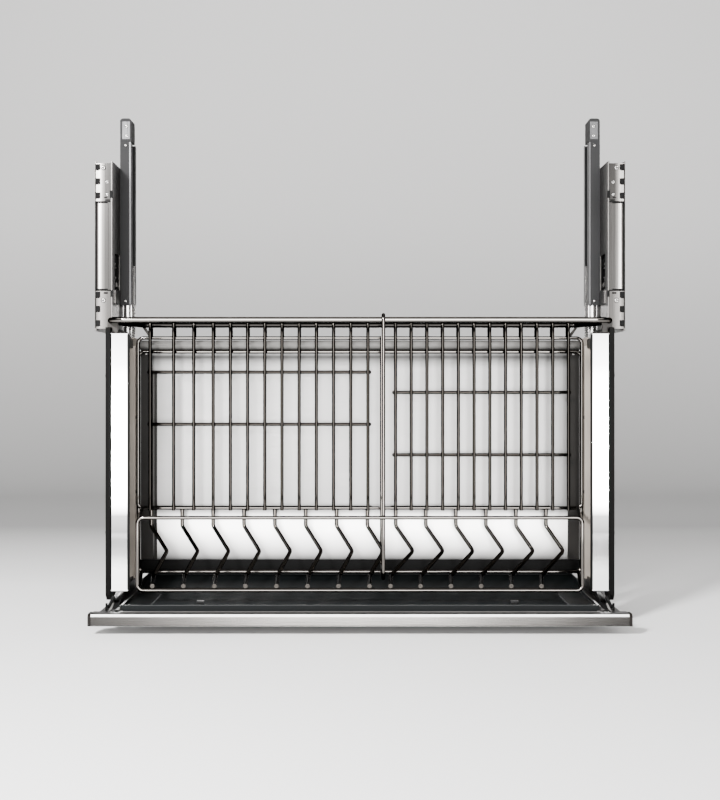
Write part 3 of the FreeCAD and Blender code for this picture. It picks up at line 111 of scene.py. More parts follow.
def bump(tree, shader, value, strength, depth):
    """Relief of a given depth in metres."""
    relief = tree.nodes.new("ShaderNodeBump")
    relief.inputs["Strength"].default_value = strength
    relief.inputs["Distance"].default_value = depth
    tree.links.new(value, relief.inputs["Height"])
    tree.links.new(relief.outputs["Normal"], shader.inputs["Normal"])
    return relief


def shade(color, factor):
    return tuple(min(1.0, part * factor) for part in color)


def graded(material, axis, stops):
    """Painted light and shade: base colour dimmed along a bench axis; stops are (millimetres, factor), mirrored about
    the middle on x.
    """
    tree = material.node_tree
    socket = tree.nodes["Principled BSDF"].inputs["Base Color"]
    clouds = socket.links[0].from_socket
    place = tree.nodes.new("ShaderNodeTexCoord")
    split = tree.nodes.new("ShaderNodeSeparateXYZ")
    tree.links.new(place.outputs["Object"], split.inputs["Vector"])
    value = split.outputs[axis]
    start = BENCH[axis]
    if axis == 0:
        mirror = tree.nodes.new("ShaderNodeMath")
        mirror.operation = "ABSOLUTE"
        tree.links.new(value, mirror.inputs[0])
        value = mirror.outputs["Value"]
    first = stops[0][0]
    last = stops[-1][0]
    ranged = tree.nodes.new("ShaderNodeMapRange")
    ranged.inputs["From Min"].default_value = start + first * MM
    ranged.inputs["From Max"].default_value = start + last * MM
    tree.links.new(value, ranged.inputs["Value"])
    ramp = tree.nodes.new("ShaderNodeValToRGB")
    elements = ramp.color_ramp.elements
    for position, factor in stops[1:-1]:
        elements.new((position - first) / (last - first)).color = (factor, factor, factor, 1)
    elements[0].color = (*[stops[0][1]] * 3, 1)
    elements[len(elements) - 1].color = (*[stops[-1][1]] * 3, 1)
    tree.links.new(ranged.outputs["Result"], ramp.inputs["Fac"])
    dimmed = tree.nodes.new("ShaderNodeMix")
    dimmed.data_type = "RGBA"
    dimmed.blend_type = "MULTIPLY"
    dimmed.inputs["Factor"].default_value = 1.0
    tree.links.new(clouds, dimmed.inputs["A"])
    tree.links.new(ramp.outputs["Color"], dimmed.inputs["B"])
    tree.links.new(dimmed.outputs["Result"], socket)
    return material


def brushed(name, color, roughness, along, line_depth=0.00003, metallic=1.0, gloss=0.5):
    """Metal with fine lines along one axis and soft clouds of tone."""
    material, tree, shader = new_material(name, color, metallic, roughness)
    shader.inputs["Specular IOR Level"].default_value = gloss
    stretch = [1.0, 1.0, 1.0]
    stretch[along] = 0.01
    lines = noise(tree, 1600, stretch, 4)
    clouds = noise(tree, 9)
    tint(tree, shader, clouds, shade(color, 0.93), shade(color, 1.05))
    tree.links.new(spread(tree, lines, roughness * 0.8, roughness * 1.25), shader.inputs["Roughness"])
    bump(tree, shader, lines, 0.35, line_depth)
    return material


def polished(name, color, roughness, edge=1.0):
    """Bright metal with faint smears and hair-fine scratches; edge dims what it mirrors at a glancing angle."""
    material, tree, shader = new_material(name, color, 1.0, roughness)
    shader.inputs["Specular Tint"].default_value = (edge, edge, edge, 1)
    smears = noise(tree, 22, (1, 1, 0.35))
    scratches = noise(tree, 2200, (1, 1, 0.02), 2)
    tint(tree, shader, smears, shade(color, 0.95), shade(color, 1.03))
    tree.links.new(spread(tree, smears, roughness * 0.7, roughness * 1.5), shader.inputs["Roughness"])
    bump(tree, shader, scratches, 0.12, 0.00001)
    return material


def coated(name, color, roughness, coat, sheen=0.25):
    """Powder or lacquer coat with a slight orange peel."""
    material, tree, shader = new_material(name, color, 0.0, roughness)
    shader.inputs["Specular IOR Level"].default_value = sheen
    shader.inputs["Coat Weight"].default_value = coat
    shader.inputs["Coat Roughness"].default_value = 0.12
    peel = noise(tree, 900, detail=2)
    clouds = noise(tree, 14)
    tint(tree, shader, clouds, shade(color, 0.85), shade(color, 1.15))
    tree.links.new(spread(tree, clouds, roughness * 0.85, roughness * 1.15), shader.inputs["Roughness"])
    bump(tree, shader, peel, 0.3, 0.00004)
    return material


def moulded(name, color, roughness, sheen=0.4):
    """Moulded plastic with a fine spark-eroded grain."""
    material, tree, shader = new_material(name, color, 0.0, roughness)
    shader.inputs["Specular IOR Level"].default_value = sheen
    grain = noise(tree, 2600, detail=1)
    clouds = noise(tree, 12)
    tint(tree, shader, clouds, shade(color, 0.8), shade(color, 1.25))
    tree.links.new(spread(tree, clouds, roughness * 0.85, roughness * 1.2), shader.inputs["Roughness"])
    bump(tree, shader, grain, 0.4, 0.00005)
    return material


# Painted light and shade along one bench axis, as (millimetres, factor): a few broad stops for the shade, highlights
# and reflections the room throws on a piece.
# Lift unit and its brackets: painted light near the outer edge, painted shade towards the cheek.
UNIT_SHADE = [(403.8, 0.22), (405.6, 0.025), (415, 0.03), (420, 0.11), (427, 1.0), (429.6, 0.9), (430.4, 0.06)]
UPPER_SHADE = [(403.8, 0.4), (405.6, 0.03), (415, 0.04), (420, 0.2), (424, 0.67), (429.6, 0.5), (430.4, 0.06)]
BRACKET_SHADE = [(404.6, 0.6), (406, 0.13), (412, 0.15), (424, 0.5), (429.6, 0.2), (432, 0.1)]
# Crossbars: a painted lit band across the top crossbar between painted shade above and below; the low crossbar darkened
# as painted shade.
BAR_SHADE = [(67, 0.05), (100, 0.9), (410, 0.9), (429, 0.1), (436, 0.8), (440, 0.8), (445, 0.2)]
# Back panel: painted shade at its foot and under the top crossbar, a painted lit band above the tray and a thin painted
# lit line within the shade under the crossbar.
PANEL_SHADE = [(65, 0.001), (78, 0.27), (118, 1.0), (132, 1.0), (150, 0.22), (395, 0.16), (416, 0.02), (421, 0.09),
               (428, 0.01)]
# Front posts: a grey band low down is a painted reflection of the worktop's edge; the dimming towards the top is
# painted shade.
POST_SHADE = [(75, 1.0), (100, 0.3), (135, 0.045), (160, 0.07), (200, 1.0), (330, 1.0), (400, 0.3), (450, 0.17)]
# Top ring: its rear tube darkened as painted shade.
RING_SHADE = [(70, 1.0), (100, 1.0), (150, 0.3), (240, 0.06), (270, 0.06)]
# Painted highlight line low on the handle's face, dimmer towards its ends.
LINE_SHADE = [(0, 1.0), (240, 0.6), (411, 0.4)]
# Handle face: painted shade, darker towards its ends.
HANDLE_SHADE = [(0, 0.25), (120, 0.21), (240, 0.105), (330, 0.046), (411, 0.0235)]

MATERIALS = {
    "unit_steel": graded(brushed("unit_steel", (0.34, 0.325, 0.31), 0.30, 2, metallic=0.95), 0, UNIT_SHADE),
    # Darker copies of unit_steel for the lower and upper brackets: painted shade.
    "bracket_low_shaded": graded(brushed("bracket_low_shaded", (0.11, 0.105, 0.10), 0.30, 2, metallic=0.95), 0, BRACKET_SHADE),
    "bracket_high_shaded": graded(brushed("bracket_high_shaded", (0.17, 0.163, 0.155), 0.30, 2, metallic=0.95), 0, UPPER_SHADE),
    "damper_metal": polished("damper_metal", (0.30, 0.30, 0.305), 0.12),
    "column_dark": coated("column_dark", (0.0115, 0.0115, 0.0118), 0.5, 0.0, 0.03),
    "stage_steel": brushed("stage_steel", (0.30, 0.295, 0.29), 0.22, 2),
    "glide_nylon": moulded("glide_nylon", (0.02, 0.02, 0.02), 0.55, 0.15),
    "spool_plastic": moulded("spool_plastic", (0.06, 0.06, 0.065), 0.5),
    "latch_black": coated("latch_black", (0.004, 0.004, 0.004), 0.4, 0.0, 0.1),
    "fastener_steel": polished("fastener_steel", (0.22, 0.215, 0.21), 0.16),
    "side_black": coated("side_black", (0.0014, 0.0013, 0.0012), 0.5, 0.0, 0.02),
    "post_chrome": graded(polished("post_chrome", (0.97, 0.968, 0.965), 0.06), 2, POST_SHADE),
    "frame_grey": coated("frame_grey", (0.016, 0.0145, 0.013), 0.45, 0.0, 0.08),
    "wire_steel": polished("wire_steel", (0.055, 0.050, 0.045), 0.08, 0.0),
    "ring_steel": graded(polished("ring_steel", (0.13, 0.122, 0.114), 0.06, 0.0), 1, RING_SHADE),
    "band_grey": coated("band_grey", (0.21, 0.185, 0.16), 0.45, 0.0, 0.1),
    "rear_dark": coated("rear_dark", (0.008, 0.0073, 0.0066), 0.4, 0.0, 0.08),
    "bar_satin": graded(brushed("bar_satin", (0.083, 0.081, 0.078), 0.40, 0, 0.00001, 0.5, 0.0), 2, BAR_SHADE),
    "bracket_steel": brushed("bracket_steel", (0.014, 0.0135, 0.013), 0.45, 1),
    "runner_dark": coated("runner_dark", (0.005, 0.0046, 0.0042), 0.4, 0.0, 0.08),
    "panel_satin": graded(brushed("panel_satin", (0.90, 0.891, 0.88), 0.38, 0, 0.00001, 0.7, 0.0), 2, PANEL_SHADE),
    "handle_steel": graded(brushed("handle_steel", (0.95, 0.905, 0.86), 0.27, 0, metallic=0.97), 0, HANDLE_SHADE),
    "handle_cap": moulded("handle_cap", (0.005, 0.004, 0.0035), 0.5, 0.08),
    "tray_black": moulded("tray_black", (0.0025, 0.003, 0.0032), 0.42, 0.04),
    "bar_black": coated("bar_black", (0.002, 0.002, 0.002), 0.35, 0.0, 0.02),
    # Painted highlights along the handle's upper and lower edges.
    "edge_painted_highlight": brushed("edge_painted_highlight", (0.93, 0.925, 0.92), 0.35, 0, 0.00001, 0.15),
    "edge_soft_highlight": graded(brushed("edge_soft_highlight", (0.95, 0.93, 0.90), 0.35, 0), 0, LINE_SHADE),
    # Darker and lighter copies of the wire steel for the fences and the frames' rails: painted shade and painted light.
    "fence_steel_shaded": polished("fence_steel_shaded", (0.013, 0.0118, 0.0105), 0.07, 0.0),
    "rail_steel_lit": polished("rail_steel_lit", (0.08, 0.0745, 0.069), 0.06, 0.0),
    # Looks of small added pieces; each piece is also passed the slot of what it sits on.
    "cap_inset": brushed("cap_inset", (0.018, 0.018, 0.019), 0.45, 2, metallic=0.4),
    # Lighter grey for the columns' inner sides: painted light.
    "column_lit_grey": coated("column_lit_grey", (0.075, 0.075, 0.075), 0.6, 0.0, 0.0),
    # Painted highlight for the columns' inner front corners; also the tray clips' darker steel.
    "corner_highlight_and_clip_steel": brushed("corner_highlight_and_clip_steel", (0.022, 0.022, 0.0225), 0.3, 2),
    "strut_light": brushed("strut_light", (0.007, 0.0067, 0.0064), 0.3, 1),
    # Grey for painted light on the handle bracket's top and for the painted reflection on the handle's top.
    "grey_painted_light": coated("grey_painted_light", (0.15, 0.145, 0.14), 0.5, 0.0, 0.05),
    # Painted highlight for the tray's rims.
    "rim_painted_highlight": coated("rim_painted_highlight", (0.015, 0.016, 0.0165), 0.35, 0.0, 0.12),
    "deep_black": moulded("deep_black", (0.002, 0.002, 0.002), 0.6, 0.04),
}


# Pieces

def finish_piece(item, body, slot, *nodes, look=None):
    """Material from the look or else the slot, body, and the nodes that the piece stands for, hidden."""
    item.data.materials.clear()
    item.data.materials.append(MATERIALS[look or slot])
    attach(item, body)
    if nodes:
        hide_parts(*nodes)
    return item


def new_piece(name, mesh):
    item = bpy.data.objects.new(name, mesh)
    bpy.context.scene.collection.objects.link(item)
    return item


def piece_from(work, name, body, slot, *nodes, look=None):
    """Finished piece from a bmesh."""
    for face in work.faces:
        face.smooth = True
    mesh = bpy.data.meshes.new(name)
    work.to_mesh(mesh)
    work.free()
    return finish_piece(new_piece(name, mesh), body, slot, *nodes, look=look)


def rounded(item, width, segments=2, angle=35):
    """Rounded edges with flat faces left flat."""
    rounding = item.modifiers.new("rounding", "BEVEL")
    rounding.width = width * MM
    rounding.segments = segments
    rounding.limit_method = "ANGLE"
    rounding.angle_limit = math.radians(angle)
    facets = item.modifiers.new("facets", "WEIGHTED_NORMAL")
    facets.mode = "FACE_AREA_WITH_ANGLE"
    facets.keep_sharp = True
    return item


def clean_copy(node):
    """The node's shape with its flat faces joined up."""
    work = bmesh.new()
    work.from_mesh(frame["nodes"][node].data)
    bmesh.ops.remove_doubles(work, verts=work.verts, dist=0.001 * MM)
    bmesh.ops.dissolve_limit(work, angle_limit=math.radians(0.5), verts=work.verts, edges=work.edges)
    return work


def soften(node, width, segments=2, look=None):
    """Copy of a node with its sharp edges rounded."""
    item = piece_from(clean_copy(node), node + "_finished", BODY_OF[node], SLOT_OF[node], node, look=look)
    return rounded(item, width, segments)


def brick(work, x, y, z):
    """Box between two values along each bench axis."""
    made = bmesh.ops.create_cube(work, size=1)["verts"]
    low = bench(min(x), min(y), min(z))
    high = bench(max(x), max(y), max(z))
    bmesh.ops.transform(work, matrix=Matrix.Translation((low + high) / 2) @ Matrix.Diagonal((*(high - low), 1)),
                        verts=made)
    return made


def slabs(name, body, slot, boxes, width, look=None):
    """Boxes with rounded edges, as one piece."""
    work = bmesh.new()
    for x, y, z in boxes:
        brick(work, x, y, z)
    return rounded(piece_from(work, name, body, slot, look=look), width)


def prism(work, corners, low, high, place):
    """Outline in one plane pushed from low to high; place turns (a, b, level) into a bench point."""
    rings = [[work.verts.new(place(a, b, level)) for a, b in corners] for level in (low, high)]
    work.faces.new(rings[0][::-1])
    work.faces.new(rings[1])
    for i in range(len(corners)):
        j = (i + 1) % len(corners)
        work.faces.new((rings[0][i], rings[0][j], rings[1][j], rings[1][i]))
    bmesh.ops.recalc_face_normals(work, faces=work.faces)


def turned(work, profile, place, steps=24):
    """Lathe shape from (distance, radius) pairs; place turns (distance, a, b) into a point."""
    rings = []
    for distance, radius in profile:
        if radius == 0:
            rings.append([work.verts.new(place(distance, 0, 0))])
        else:
            rings.append([work.verts.new(place(distance, radius * math.cos(2 * math.pi * i / steps),
                                               radius * math.sin(2 * math.pi * i / steps)))
                          for i in range(steps)])
    for one, two in zip(rings, rings[1:]):
        for i in range(steps):
            j = (i + 1) % steps
            corners = [one[i % len(one)], one[j % len(one)], two[j % len(two)], two[i % len(two)]]
            kept = [corner for k, corner in enumerate(corners) if corner not in corners[:k]]
            if len(kept) > 2:
                work.faces.new(kept)
    for end in (rings[0], rings[-1]):
        if len(end) > 1:
            work.faces.new(end)


def along(origin, direction):
    """Placing function whose distance runs along a direction from an origin."""
    turn = direction.to_track_quat("Z", "Y").to_matrix()
    return lambda distance, a, b: origin + turn @ (Vector((a, b, distance)) * MM)


def screw(work, origin, direction, head, height, shank, length, kind="cross"):
    """Screw that points along the direction: shank, domed head and its drive recess."""
    place = along(origin, direction)
    turned(work, [(0, shank), (length, shank)], place, 16)
    rim = 0.62 * head
    turned(work, [(length, 0.96 * head), (length + 0.12 * height, head), (length + 0.45 * height, head),
                  (length + 0.8 * height, 0.86 * head), (length + height, rim)], place)
    last = [face for face in work.faces if len(face.verts) == 24][-1]
    work.faces.remove(last)
    top = length + height
    arm = 0.14 * head
    reach = 0.5 * head
    if kind == "cross":
        flat = [(reach, -arm), (reach, arm), (arm, arm), (arm, reach), (-arm, reach), (-arm, arm), (-reach, arm),
                (-reach, -arm), (-arm, -arm), (-arm, -reach), (arm, -reach), (arm, -arm)]
    elif kind == "slot":
        flat = [(rim * 0.92, -arm), (rim * 0.92, arm), (-rim * 0.92, arm), (-rim * 0.92, -arm)]
    else:
        flat = [(reach * math.cos(math.radians(60 * i)), reach * math.sin(math.radians(60 * i))) for i in range(6)]
    upper = [work.verts.new(place(top, a, b)) for a, b in flat]
    lower = [work.verts.new(place(top - 0.6 * height, a, b)) for a, b in flat]
    around = [work.verts.new(place(top, rim * math.cos(2 * math.pi * i / 24), rim * math.sin(2 * math.pi * i / 24)))
              for i in range(24)]
    edges = []
    for loop in (upper, around):
        edges += [work.edges.new((loop[i], loop[(i + 1) % len(loop)])) for i in range(len(loop))]
    bmesh.ops.triangle_fill(work, use_beauty=True, edges=edges, normal=direction)
    for i in range(len(flat)):
        j = (i + 1) % len(flat)
        work.faces.new((upper[i], upper[j], lower[j], lower[i]))
    work.faces.new(lower)
    bmesh.ops.remove_doubles(work, verts=work.verts, dist=0.002 * MM)
    bmesh.ops.recalc_face_normals(work, faces=work.faces)


def ball(work, center, radius, flatten=(1, 1, 1), steps=10):
    """Small ball or weld nugget."""
    made = bmesh.ops.create_uvsphere(work, u_segments=steps, v_segments=max(6, steps * 2 // 3), radius=radius * MM)
    bmesh.ops.transform(work, matrix=Matrix.Translation(center) @ Matrix.Diagonal((*flatten, 1)),
                        verts=made["verts"])


def loose_parts(node):
    """Vertex positions of each separate solid of a node."""
    work = bmesh.new()
    work.from_mesh(frame["nodes"][node].data)
    bmesh.ops.remove_doubles(work, verts=work.verts, dist=0.001 * MM)
    seen = set()
    parts = []
    for start in work.verts:
        if start.index in seen:
            continue
        seen.add(start.index)
        queue = [start]
        points = []
        while queue:
            vert = queue.pop()
            points.append(vert.co.copy())
            for edge in vert.link_edges:
                other = edge.other_vert(vert)
                if other.index not in seen:
                    seen.add(other.index)
                    queue.append(other)
        parts.append(points)
    work.free()
    return parts


def fasteners(node, kinds):
    """Screws, rivets and pins of a node with real heads; kinds picks a drive from the axis and the head's size."""
    work = bmesh.new()
    for points in loose_parts(node):
        low = Vector([min(point[k] for point in points) for k in range(3)])
        high = Vector([max(point[k] for point in points) for k in range(3)])
        size = high - low
        middle = (low + high) / 2
        axis = min(range(3), key=lambda k: abs(size[(k + 1) % 3] - size[(k + 2) % 3]))
        others = [k for k in range(3) if k != axis]

        def radius_at(end):
            near = [point for point in points if abs(point[axis] - end[axis]) < 0.01 * MM]
            return max(math.hypot(*(point[k] - middle[k] for k in others)) for point in near) / MM

        wide_low = radius_at(low)
        wide_high = radius_at(high)
        direction = Vector((0, 0, 0))
        if abs(wide_low - wide_high) < 0.05:
            direction[axis] = 1
            start = middle - direction * size[axis] / 2
            length = size[axis] / MM
            turned(work, [(0, 0.8 * wide_low), (0.4, wide_low), (length - 0.4, wide_low), (length, 0.8 * wide_low)],
                   along(start, direction))
            continue
        direction[axis] = 1 if wide_high > wide_low else -1
        head = max(wide_low, wide_high)
        shank = min(wide_low, wide_high)
        height = min(HEAD_HEIGHT, size[axis] / MM / 2)
        start = middle - direction * size[axis] / 2
        screw(work, start, direction, head, height, shank, size[axis] / MM - height, kinds(axis, head))
    return piece_from(work, node + "_finished", BODY_OF[node], SLOT_OF[node], node)


HEAD_HEIGHT = 1.8

SIDE_EDGES = {
    "wall_plate": 0.5, "cheek_plate": 0.5, "upper_bracket": 0.8, "lower_bracket": 0.8, "damper_cover": 0.4,
    "outer_channel": 0.45, "column_cap": 0.6, "middle_stage": 0.4, "inner_stage": 0.4, "side_plate": 1.6,
    "front_post": 0.9, "carriage_post": 0.7, "rear_post": 0.5, "handle_bracket": 0.7, "tray_runner": 0.4,
    "latch": 0.5,
}
for word, side in SIDES:
    for name, width in SIDE_EDGES.items():
        # Lower and upper brackets take the shaded copies of the unit's steel: painted shade.
        soften(word + "_" + name, width, look={"lower_bracket": "bracket_low_shaded", "upper_bracket": "bracket_high_shaded"}.get(name))
    fasteners(word + "_unit_fasteners", lambda axis, head: "cross" if head > 3 else "round")
for name, width in (("handle", 0.6), ("handle_end_caps", 0.9), ("side_rails", 0.7), ("ring_brackets", 0.5),
                    ("top_crossbar", 0.7), ("low_crossbar", 0.9), ("back_panel", 0.3), ("drip_tray", 0.6),
                    ("tray_clips", 0.4)):
    soften(name, width, look="corner_highlight_and_clip_steel" if name == "tray_clips" else None)
fasteners("rack_fasteners", lambda axis, head: "cross")

# Small parts of the lift units

FORWARD = Vector((0, -1, 0))


def unit_details(word, side):
    """What shows on and in a lift unit: dark blocks of painted shade in the notches and gaps, holes, latch housing and
    its rollers.
    """

    def across(low, high):
        return side * low, side * high

    notches = []
    for foot in (458.5, 666.5):
        for i in range(3):
            level = foot + 4 + 23.2 * i
            notches.append((across(422.6, 430.4), (162.7, 172), (level, level + 10.6)))
        notches.append((across(429.7, 431.6), (162.6, 172), (foot + 1, foot + 61)))
    # Dark blocks in the bracket notches: painted shade.
    slabs(word + "_notch_shadows", "lift_units", "latch_black", notches, 0.9, "deep_black")
    # Dark blocks in the gaps beside the cover: painted shade.
    slabs(word + "_gap_shadows", "lift_units", "latch_black", [
        (across(407.2, 429), (164.0, 190), (662.6, 667.4)),
        (across(407.2, 429), (164.0, 190), (519.8, 524.4)),
        (across(429.7, 431.6), (162.6, 190), (519.8, 667.4)),
    ], 0.4, "deep_black")
    slabs(word + "_cover_lining", "lift_units", "unit_steel",
          [(across(404.2, 411.2), (163.2, 190), (522, 665))], 0.4)
    slabs(word + "_bracket_marks", "lift_units", "latch_black", [
        (across(402.8, 407.4), (162.5, 163.6), (671.5, 684)),
        (across(407, 415), (162.6, 163.4), (667.2, 669.4)),
        (across(411.6, 417.2), (162.6, 163.4), (671.6, 673.4)),
        (across(410.8, 417.6), (162.6, 163.4), (515.6, 518.4)),
        (across(402.6, 406.6), (162.5, 163.6), (510.6, 521.6)),
    ], 0.3, "deep_black")
    slabs(word + "_latch_housing", "lift_units", "latch_black", [
        (across(425.4, 427), (166, 246), (512, 598)),
        (across(408, 427), (243, 246), (512, 598)),
        (across(408, 427), (166, 246), (595, 598)),
        (across(408, 427), (166, 246), (512, 515)),
    ], 0.5, "deep_black")
    work = bmesh.new()
    for y, z, radius in ((203, 568, 3.6), (188, 562, 2.4), (204, 543.5, 3.2), (186, 541, 2.2)):
        turned(work, [(0, 0.7 * radius), (0.6, radius), (6.2, radius), (7, 0.75 * radius), (7, 0.4 * radius),
                      (6, 0.35 * radius), (6, 0)], along(bench(side * 413, y, z), Vector((-side, 0, 0))), 20)
    brick(work, across(406.6, 412), (182, 224), (531.4, 537.4))
    brick(work, across(406.6, 409), (176, 182), (528.5, 581))
    rounded(piece_from(work, word + "_latch_rollers", "lift_units", "fastener_steel"), 0.5, angle=50)
    work = bmesh.new()
    hook = [(172, 583), (190, 584), (214, 581.5), (226, 574), (228, 566), (222, 565.5), (217, 572), (204, 576),
            (186, 576.5), (178, 570), (173, 572)]
    prism(work, hook, 406.8, 410.4, lambda y, z, x: bench(side * x, y, z))
    rounded(piece_from(work, word + "_latch_spring_hook", "lift_units", "latch_black", look="deep_black"), 0.6)
    ribs = [(across(402.6, 404.1), (186, 234), (502, 523.4))]
    ribs += [(across(402.1, 402.9), (188, 232), (504.4 + 3.2 * i, 506 + 3.2 * i)) for i in range(6)]
    slabs(word + "_cheek_label_plate", "lift_units", "unit_steel", ribs, 0.3)
    work = bmesh.new()
    screw(work, bench(side * 412.4, 163.4, 677.6), FORWARD, 2.5, 1.0, 1.2, 0.1)
    turned(work, [(0, 2.6), (0.7, 2.4), (0.7, 1.3), (0.1, 1.1), (0.1, 0)],
           along(bench(side * 412.2, 163.1, 697.8), FORWARD), 20)
    piece_from(work, word + "_bracket_screws", "lift_units", "fastener_steel")


def column_details(word, side):
    """Inset plate and screws of a column's cap, lighter strips of painted light on its inner side, a painted highlight
    along the inner corner of its front and the rounded face of its middle stage.
    """
    slabs(word + "_cap_inset", "lift_units", "column_dark",
          [((side * 387.4, side * 400.6), (235.2, 236.4), (781.0, 811.0))], 0.5, "cap_inset")
    work = bmesh.new()
    screw(work, bench(side * 393.4, 235.3, 802.7), FORWARD, 2.7, 0.9, 1.2, 0.1)
    turned(work, [(0, 2.4), (0.5, 2.3), (0.5, 1.5), (0.05, 1.3), (0.05, 0)],
           along(bench(side * 392.6, 235.3, 787), FORWARD), 20)
    piece_from(work, word + "_cap_screws", "lift_units", "fastener_steel")
    # Lighter strips on the column's inner side: painted light.
    slabs(word + "_column_lit_strips", "lift_units", "column_dark", [
        ((side * 384.4, side * 385.2), (238.5, 245.1), (503.5, 775.5)),
        ((side * 384.4, side * 385.2), (274.0, 281.5), (503.5, 775.5)),
    ], 0.3, "column_lit_grey")
    # Bright strip along the inner corner of the column's front: painted highlight.
    slabs(word + "_column_corner_highlight", "lift_units", "column_dark",
          [((side * 385.7, side * 388.5), (235.5, 236.4), (502.5, 776.5))], 0.3, "corner_highlight_and_clip_steel")
    work = bmesh.new()
    arc = [(386.2 + 0.7 * i, 240.9 - 2.0 * math.sin(math.pi * i / 18)) for i in range(19)]
    arc += [(398.8, 241.2), (386.2, 241.2)]
    prism(work, arc, 276, 566, lambda x, y, z: bench(side * x, y, z))
    rounded(piece_from(work, word + "_stage_face", word + "_stage", "stage_steel"), 0.2, angle=60)
    work = bmesh.new()
    screw(work, bench(side * 384.9, 241.9, 506.5), Vector((-side, 0, 0)), 2.2, 0.7, 1.2, 0.1)
    piece_from(work, word + "_column_screw", "lift_units", "latch_black")


def frame_details(word, side):
    """Top cap of a front post, the strut from the top ring to the rear wire frame and the knuckle of the handle
    bracket's strut; dark strips of painted shadow at the post's edges and over the handle bracket, and a grey plate of
    painted light on the bracket's top.
    """
    slabs(word + "_post_cap", "rack", "handle_cap",
          [((side * 366.1, side * 394.1), (94.6, 107.4), (448.2, 450.0))], 0.5)
    work = bmesh.new()
    start = bench(side * 369, 263.5, 466.5)
    end = bench(side * 356.5, 263.5, 448.5)
    turned(work, [(0, 1.8), (0.6, 2.4), ((end - start).length / MM - 0.6, 2.4), ((end - start).length / MM, 1.8)],
           along(start, (end - start).normalized()), 16)
    piece_from(work, word + "_ring_strut", "rack", "frame_grey")
    work = bmesh.new()
    start = bench(side * 379, 62, 29)
    end = bench(side * 375.6, 92, 38.3)
    long = (end - start).length / MM
    turned(work, [(0, 2.2), (1.2, 3.8), (3, 4.4), (long - 3, 4.4), (long - 1.2, 3.8), (long, 2.2)],
           along(start, (end - start).normalized()), 20)
    piece_from(work, word + "_strut_knuckle", "rack", "bracket_steel", look="strut_light")
    slabs(word + "_post_shadow_gaps", "rack", "side_black", [
        ((side * 363.5, side * 367.5), (94.7, 97), (44, 447)),
        ((side * 391.9, side * 394.9), (94.6, 96.5), (42.6, 447.6)),
        ((side * 386.4, side * 389.4), (30, 34), (21.6, 33)),
    ], 0.3, "deep_black")
    # Grey plate on the handle bracket's top: painted light.
    work = bmesh.new()
    prism(work, [(383.8, 26), (382.9, 26), (382.3, 44), (381.8, 60), (384.8, 60), (384.6, 44)], 0, 0.6,
          lambda x, y, lift: bench(side * x, y, 21.8 + max(0, y - 44) * 0.4 + lift))
    rounded(piece_from(work, word + "_strut_lit_plate", "rack", "bracket_steel", look="grey_painted_light"), 0.2)
    # Dark plates over the handle bracket's top and a dark rod beside the post's foot: painted shadow.
    work = bmesh.new()
    prism(work, [(381.8, 23), (372.7, 23), (372.7, 44), (381.6, 44)], -1.6, 0.3,
          lambda x, y, lift: bench(side * x, y, 21.8 + lift))
    prism(work, [(381.6, 44), (372.7, 44), (372.7, 92), (379.5, 92)], -1.6, 0.3,
          lambda x, y, lift: bench(side * x, y, 21.8 + max(0, y - 44) * 0.4 + lift))
    start = bench(side * 386.8, 42, 25)
    end = bench(side * 385.6, 78, 35.5)
    turned(work, [(0, 1.6), (1.5, 2.6), (36, 2.6), (37.5, 1.6)], along(start, (end - start).normalized()), 16)
    rounded(piece_from(work, word + "_bracket_shadow_pad", "rack", "bracket_steel", look="deep_black"), 0.15)


def wire_ends(node):
    """Rounded ends of a node's level wires."""
    work = bmesh.new()
    for points in loose_parts(node):
        low = Vector([min(point[k] for point in points) for k in range(3)])
        high = Vector([max(point[k] for point in points) for k in range(3)])
        if high.x - low.x > 0.1:
            radius = (high.y - low.y) / 2
            for x in (low.x, high.x):
                ball(work, Vector((x, (low.y + high.y) / 2, (low.z + high.z) / 2)), radius / MM * 1.12, (0.9, 1, 1), 14)
    piece_from(work, node + "_wire_ends", "rack", "wire_steel", look="fence_steel_shaded" if "fence" in node else None)


def handle_painted_light():
    """Painted light on the handle's edges: a painted highlight strip along the bevel of its upper edge, a dark crest of
    painted shade above it, a painted highlight line along its lower edge and a grey strip on its top as a painted
    reflection.
    """
    work = bmesh.new()
    prism(work, [(3.15, 20.81), (0.02, 17.68), (0.4, 17.3), (3.53, 20.43)], -406.0, 406.0,
          lambda y, z, x: bench(x, y, z))
    rounded(piece_from(work, "handle_painted_light", "rack", "handle_steel", look="edge_painted_highlight"), 0.12)
    work = bmesh.new()
    prism(work, [(14.5, 22.0), (4.32, 22.0), (3.15, 20.81), (3.53, 20.43), (4.7, 21.6), (14.5, 21.6)], -406.0, 406.0,
          lambda y, z, x: bench(x, y, z))
    rounded(piece_from(work, "handle_crest_shade", "rack", "handle_steel", look="bracket_steel"), 0.12)
    slabs("handle_low_highlight", "rack", "handle_steel", [((-406, 406), (-0.0, 1), (3.2, 4.7))], 0.3, "edge_soft_highlight")
    slabs("handle_top_reflection_strip", "rack", "handle_steel", [((-368, 368), (14.5, 21.6), (21.5, 22.0))], 0.2, "grey_painted_light")


def panel_edge():
    """Left edge of the back panel: two dark strips of painted shade with a strip of painted light between them."""
    slabs("panel_edge_shadow", "rack", "rear_dark", [((-358.4, -356.3), (288.8, 290.4), (50.5, 390)),
                                                  ((-354.8, -349.6), (289.2, 290.4), (50.5, 390))], 0.3)
    slabs("panel_edge_highlight", "rack", "rear_dark", [((-356.7, -354.6), (288.4, 290.4), (50.5, 390))], 0.4, "bar_satin")


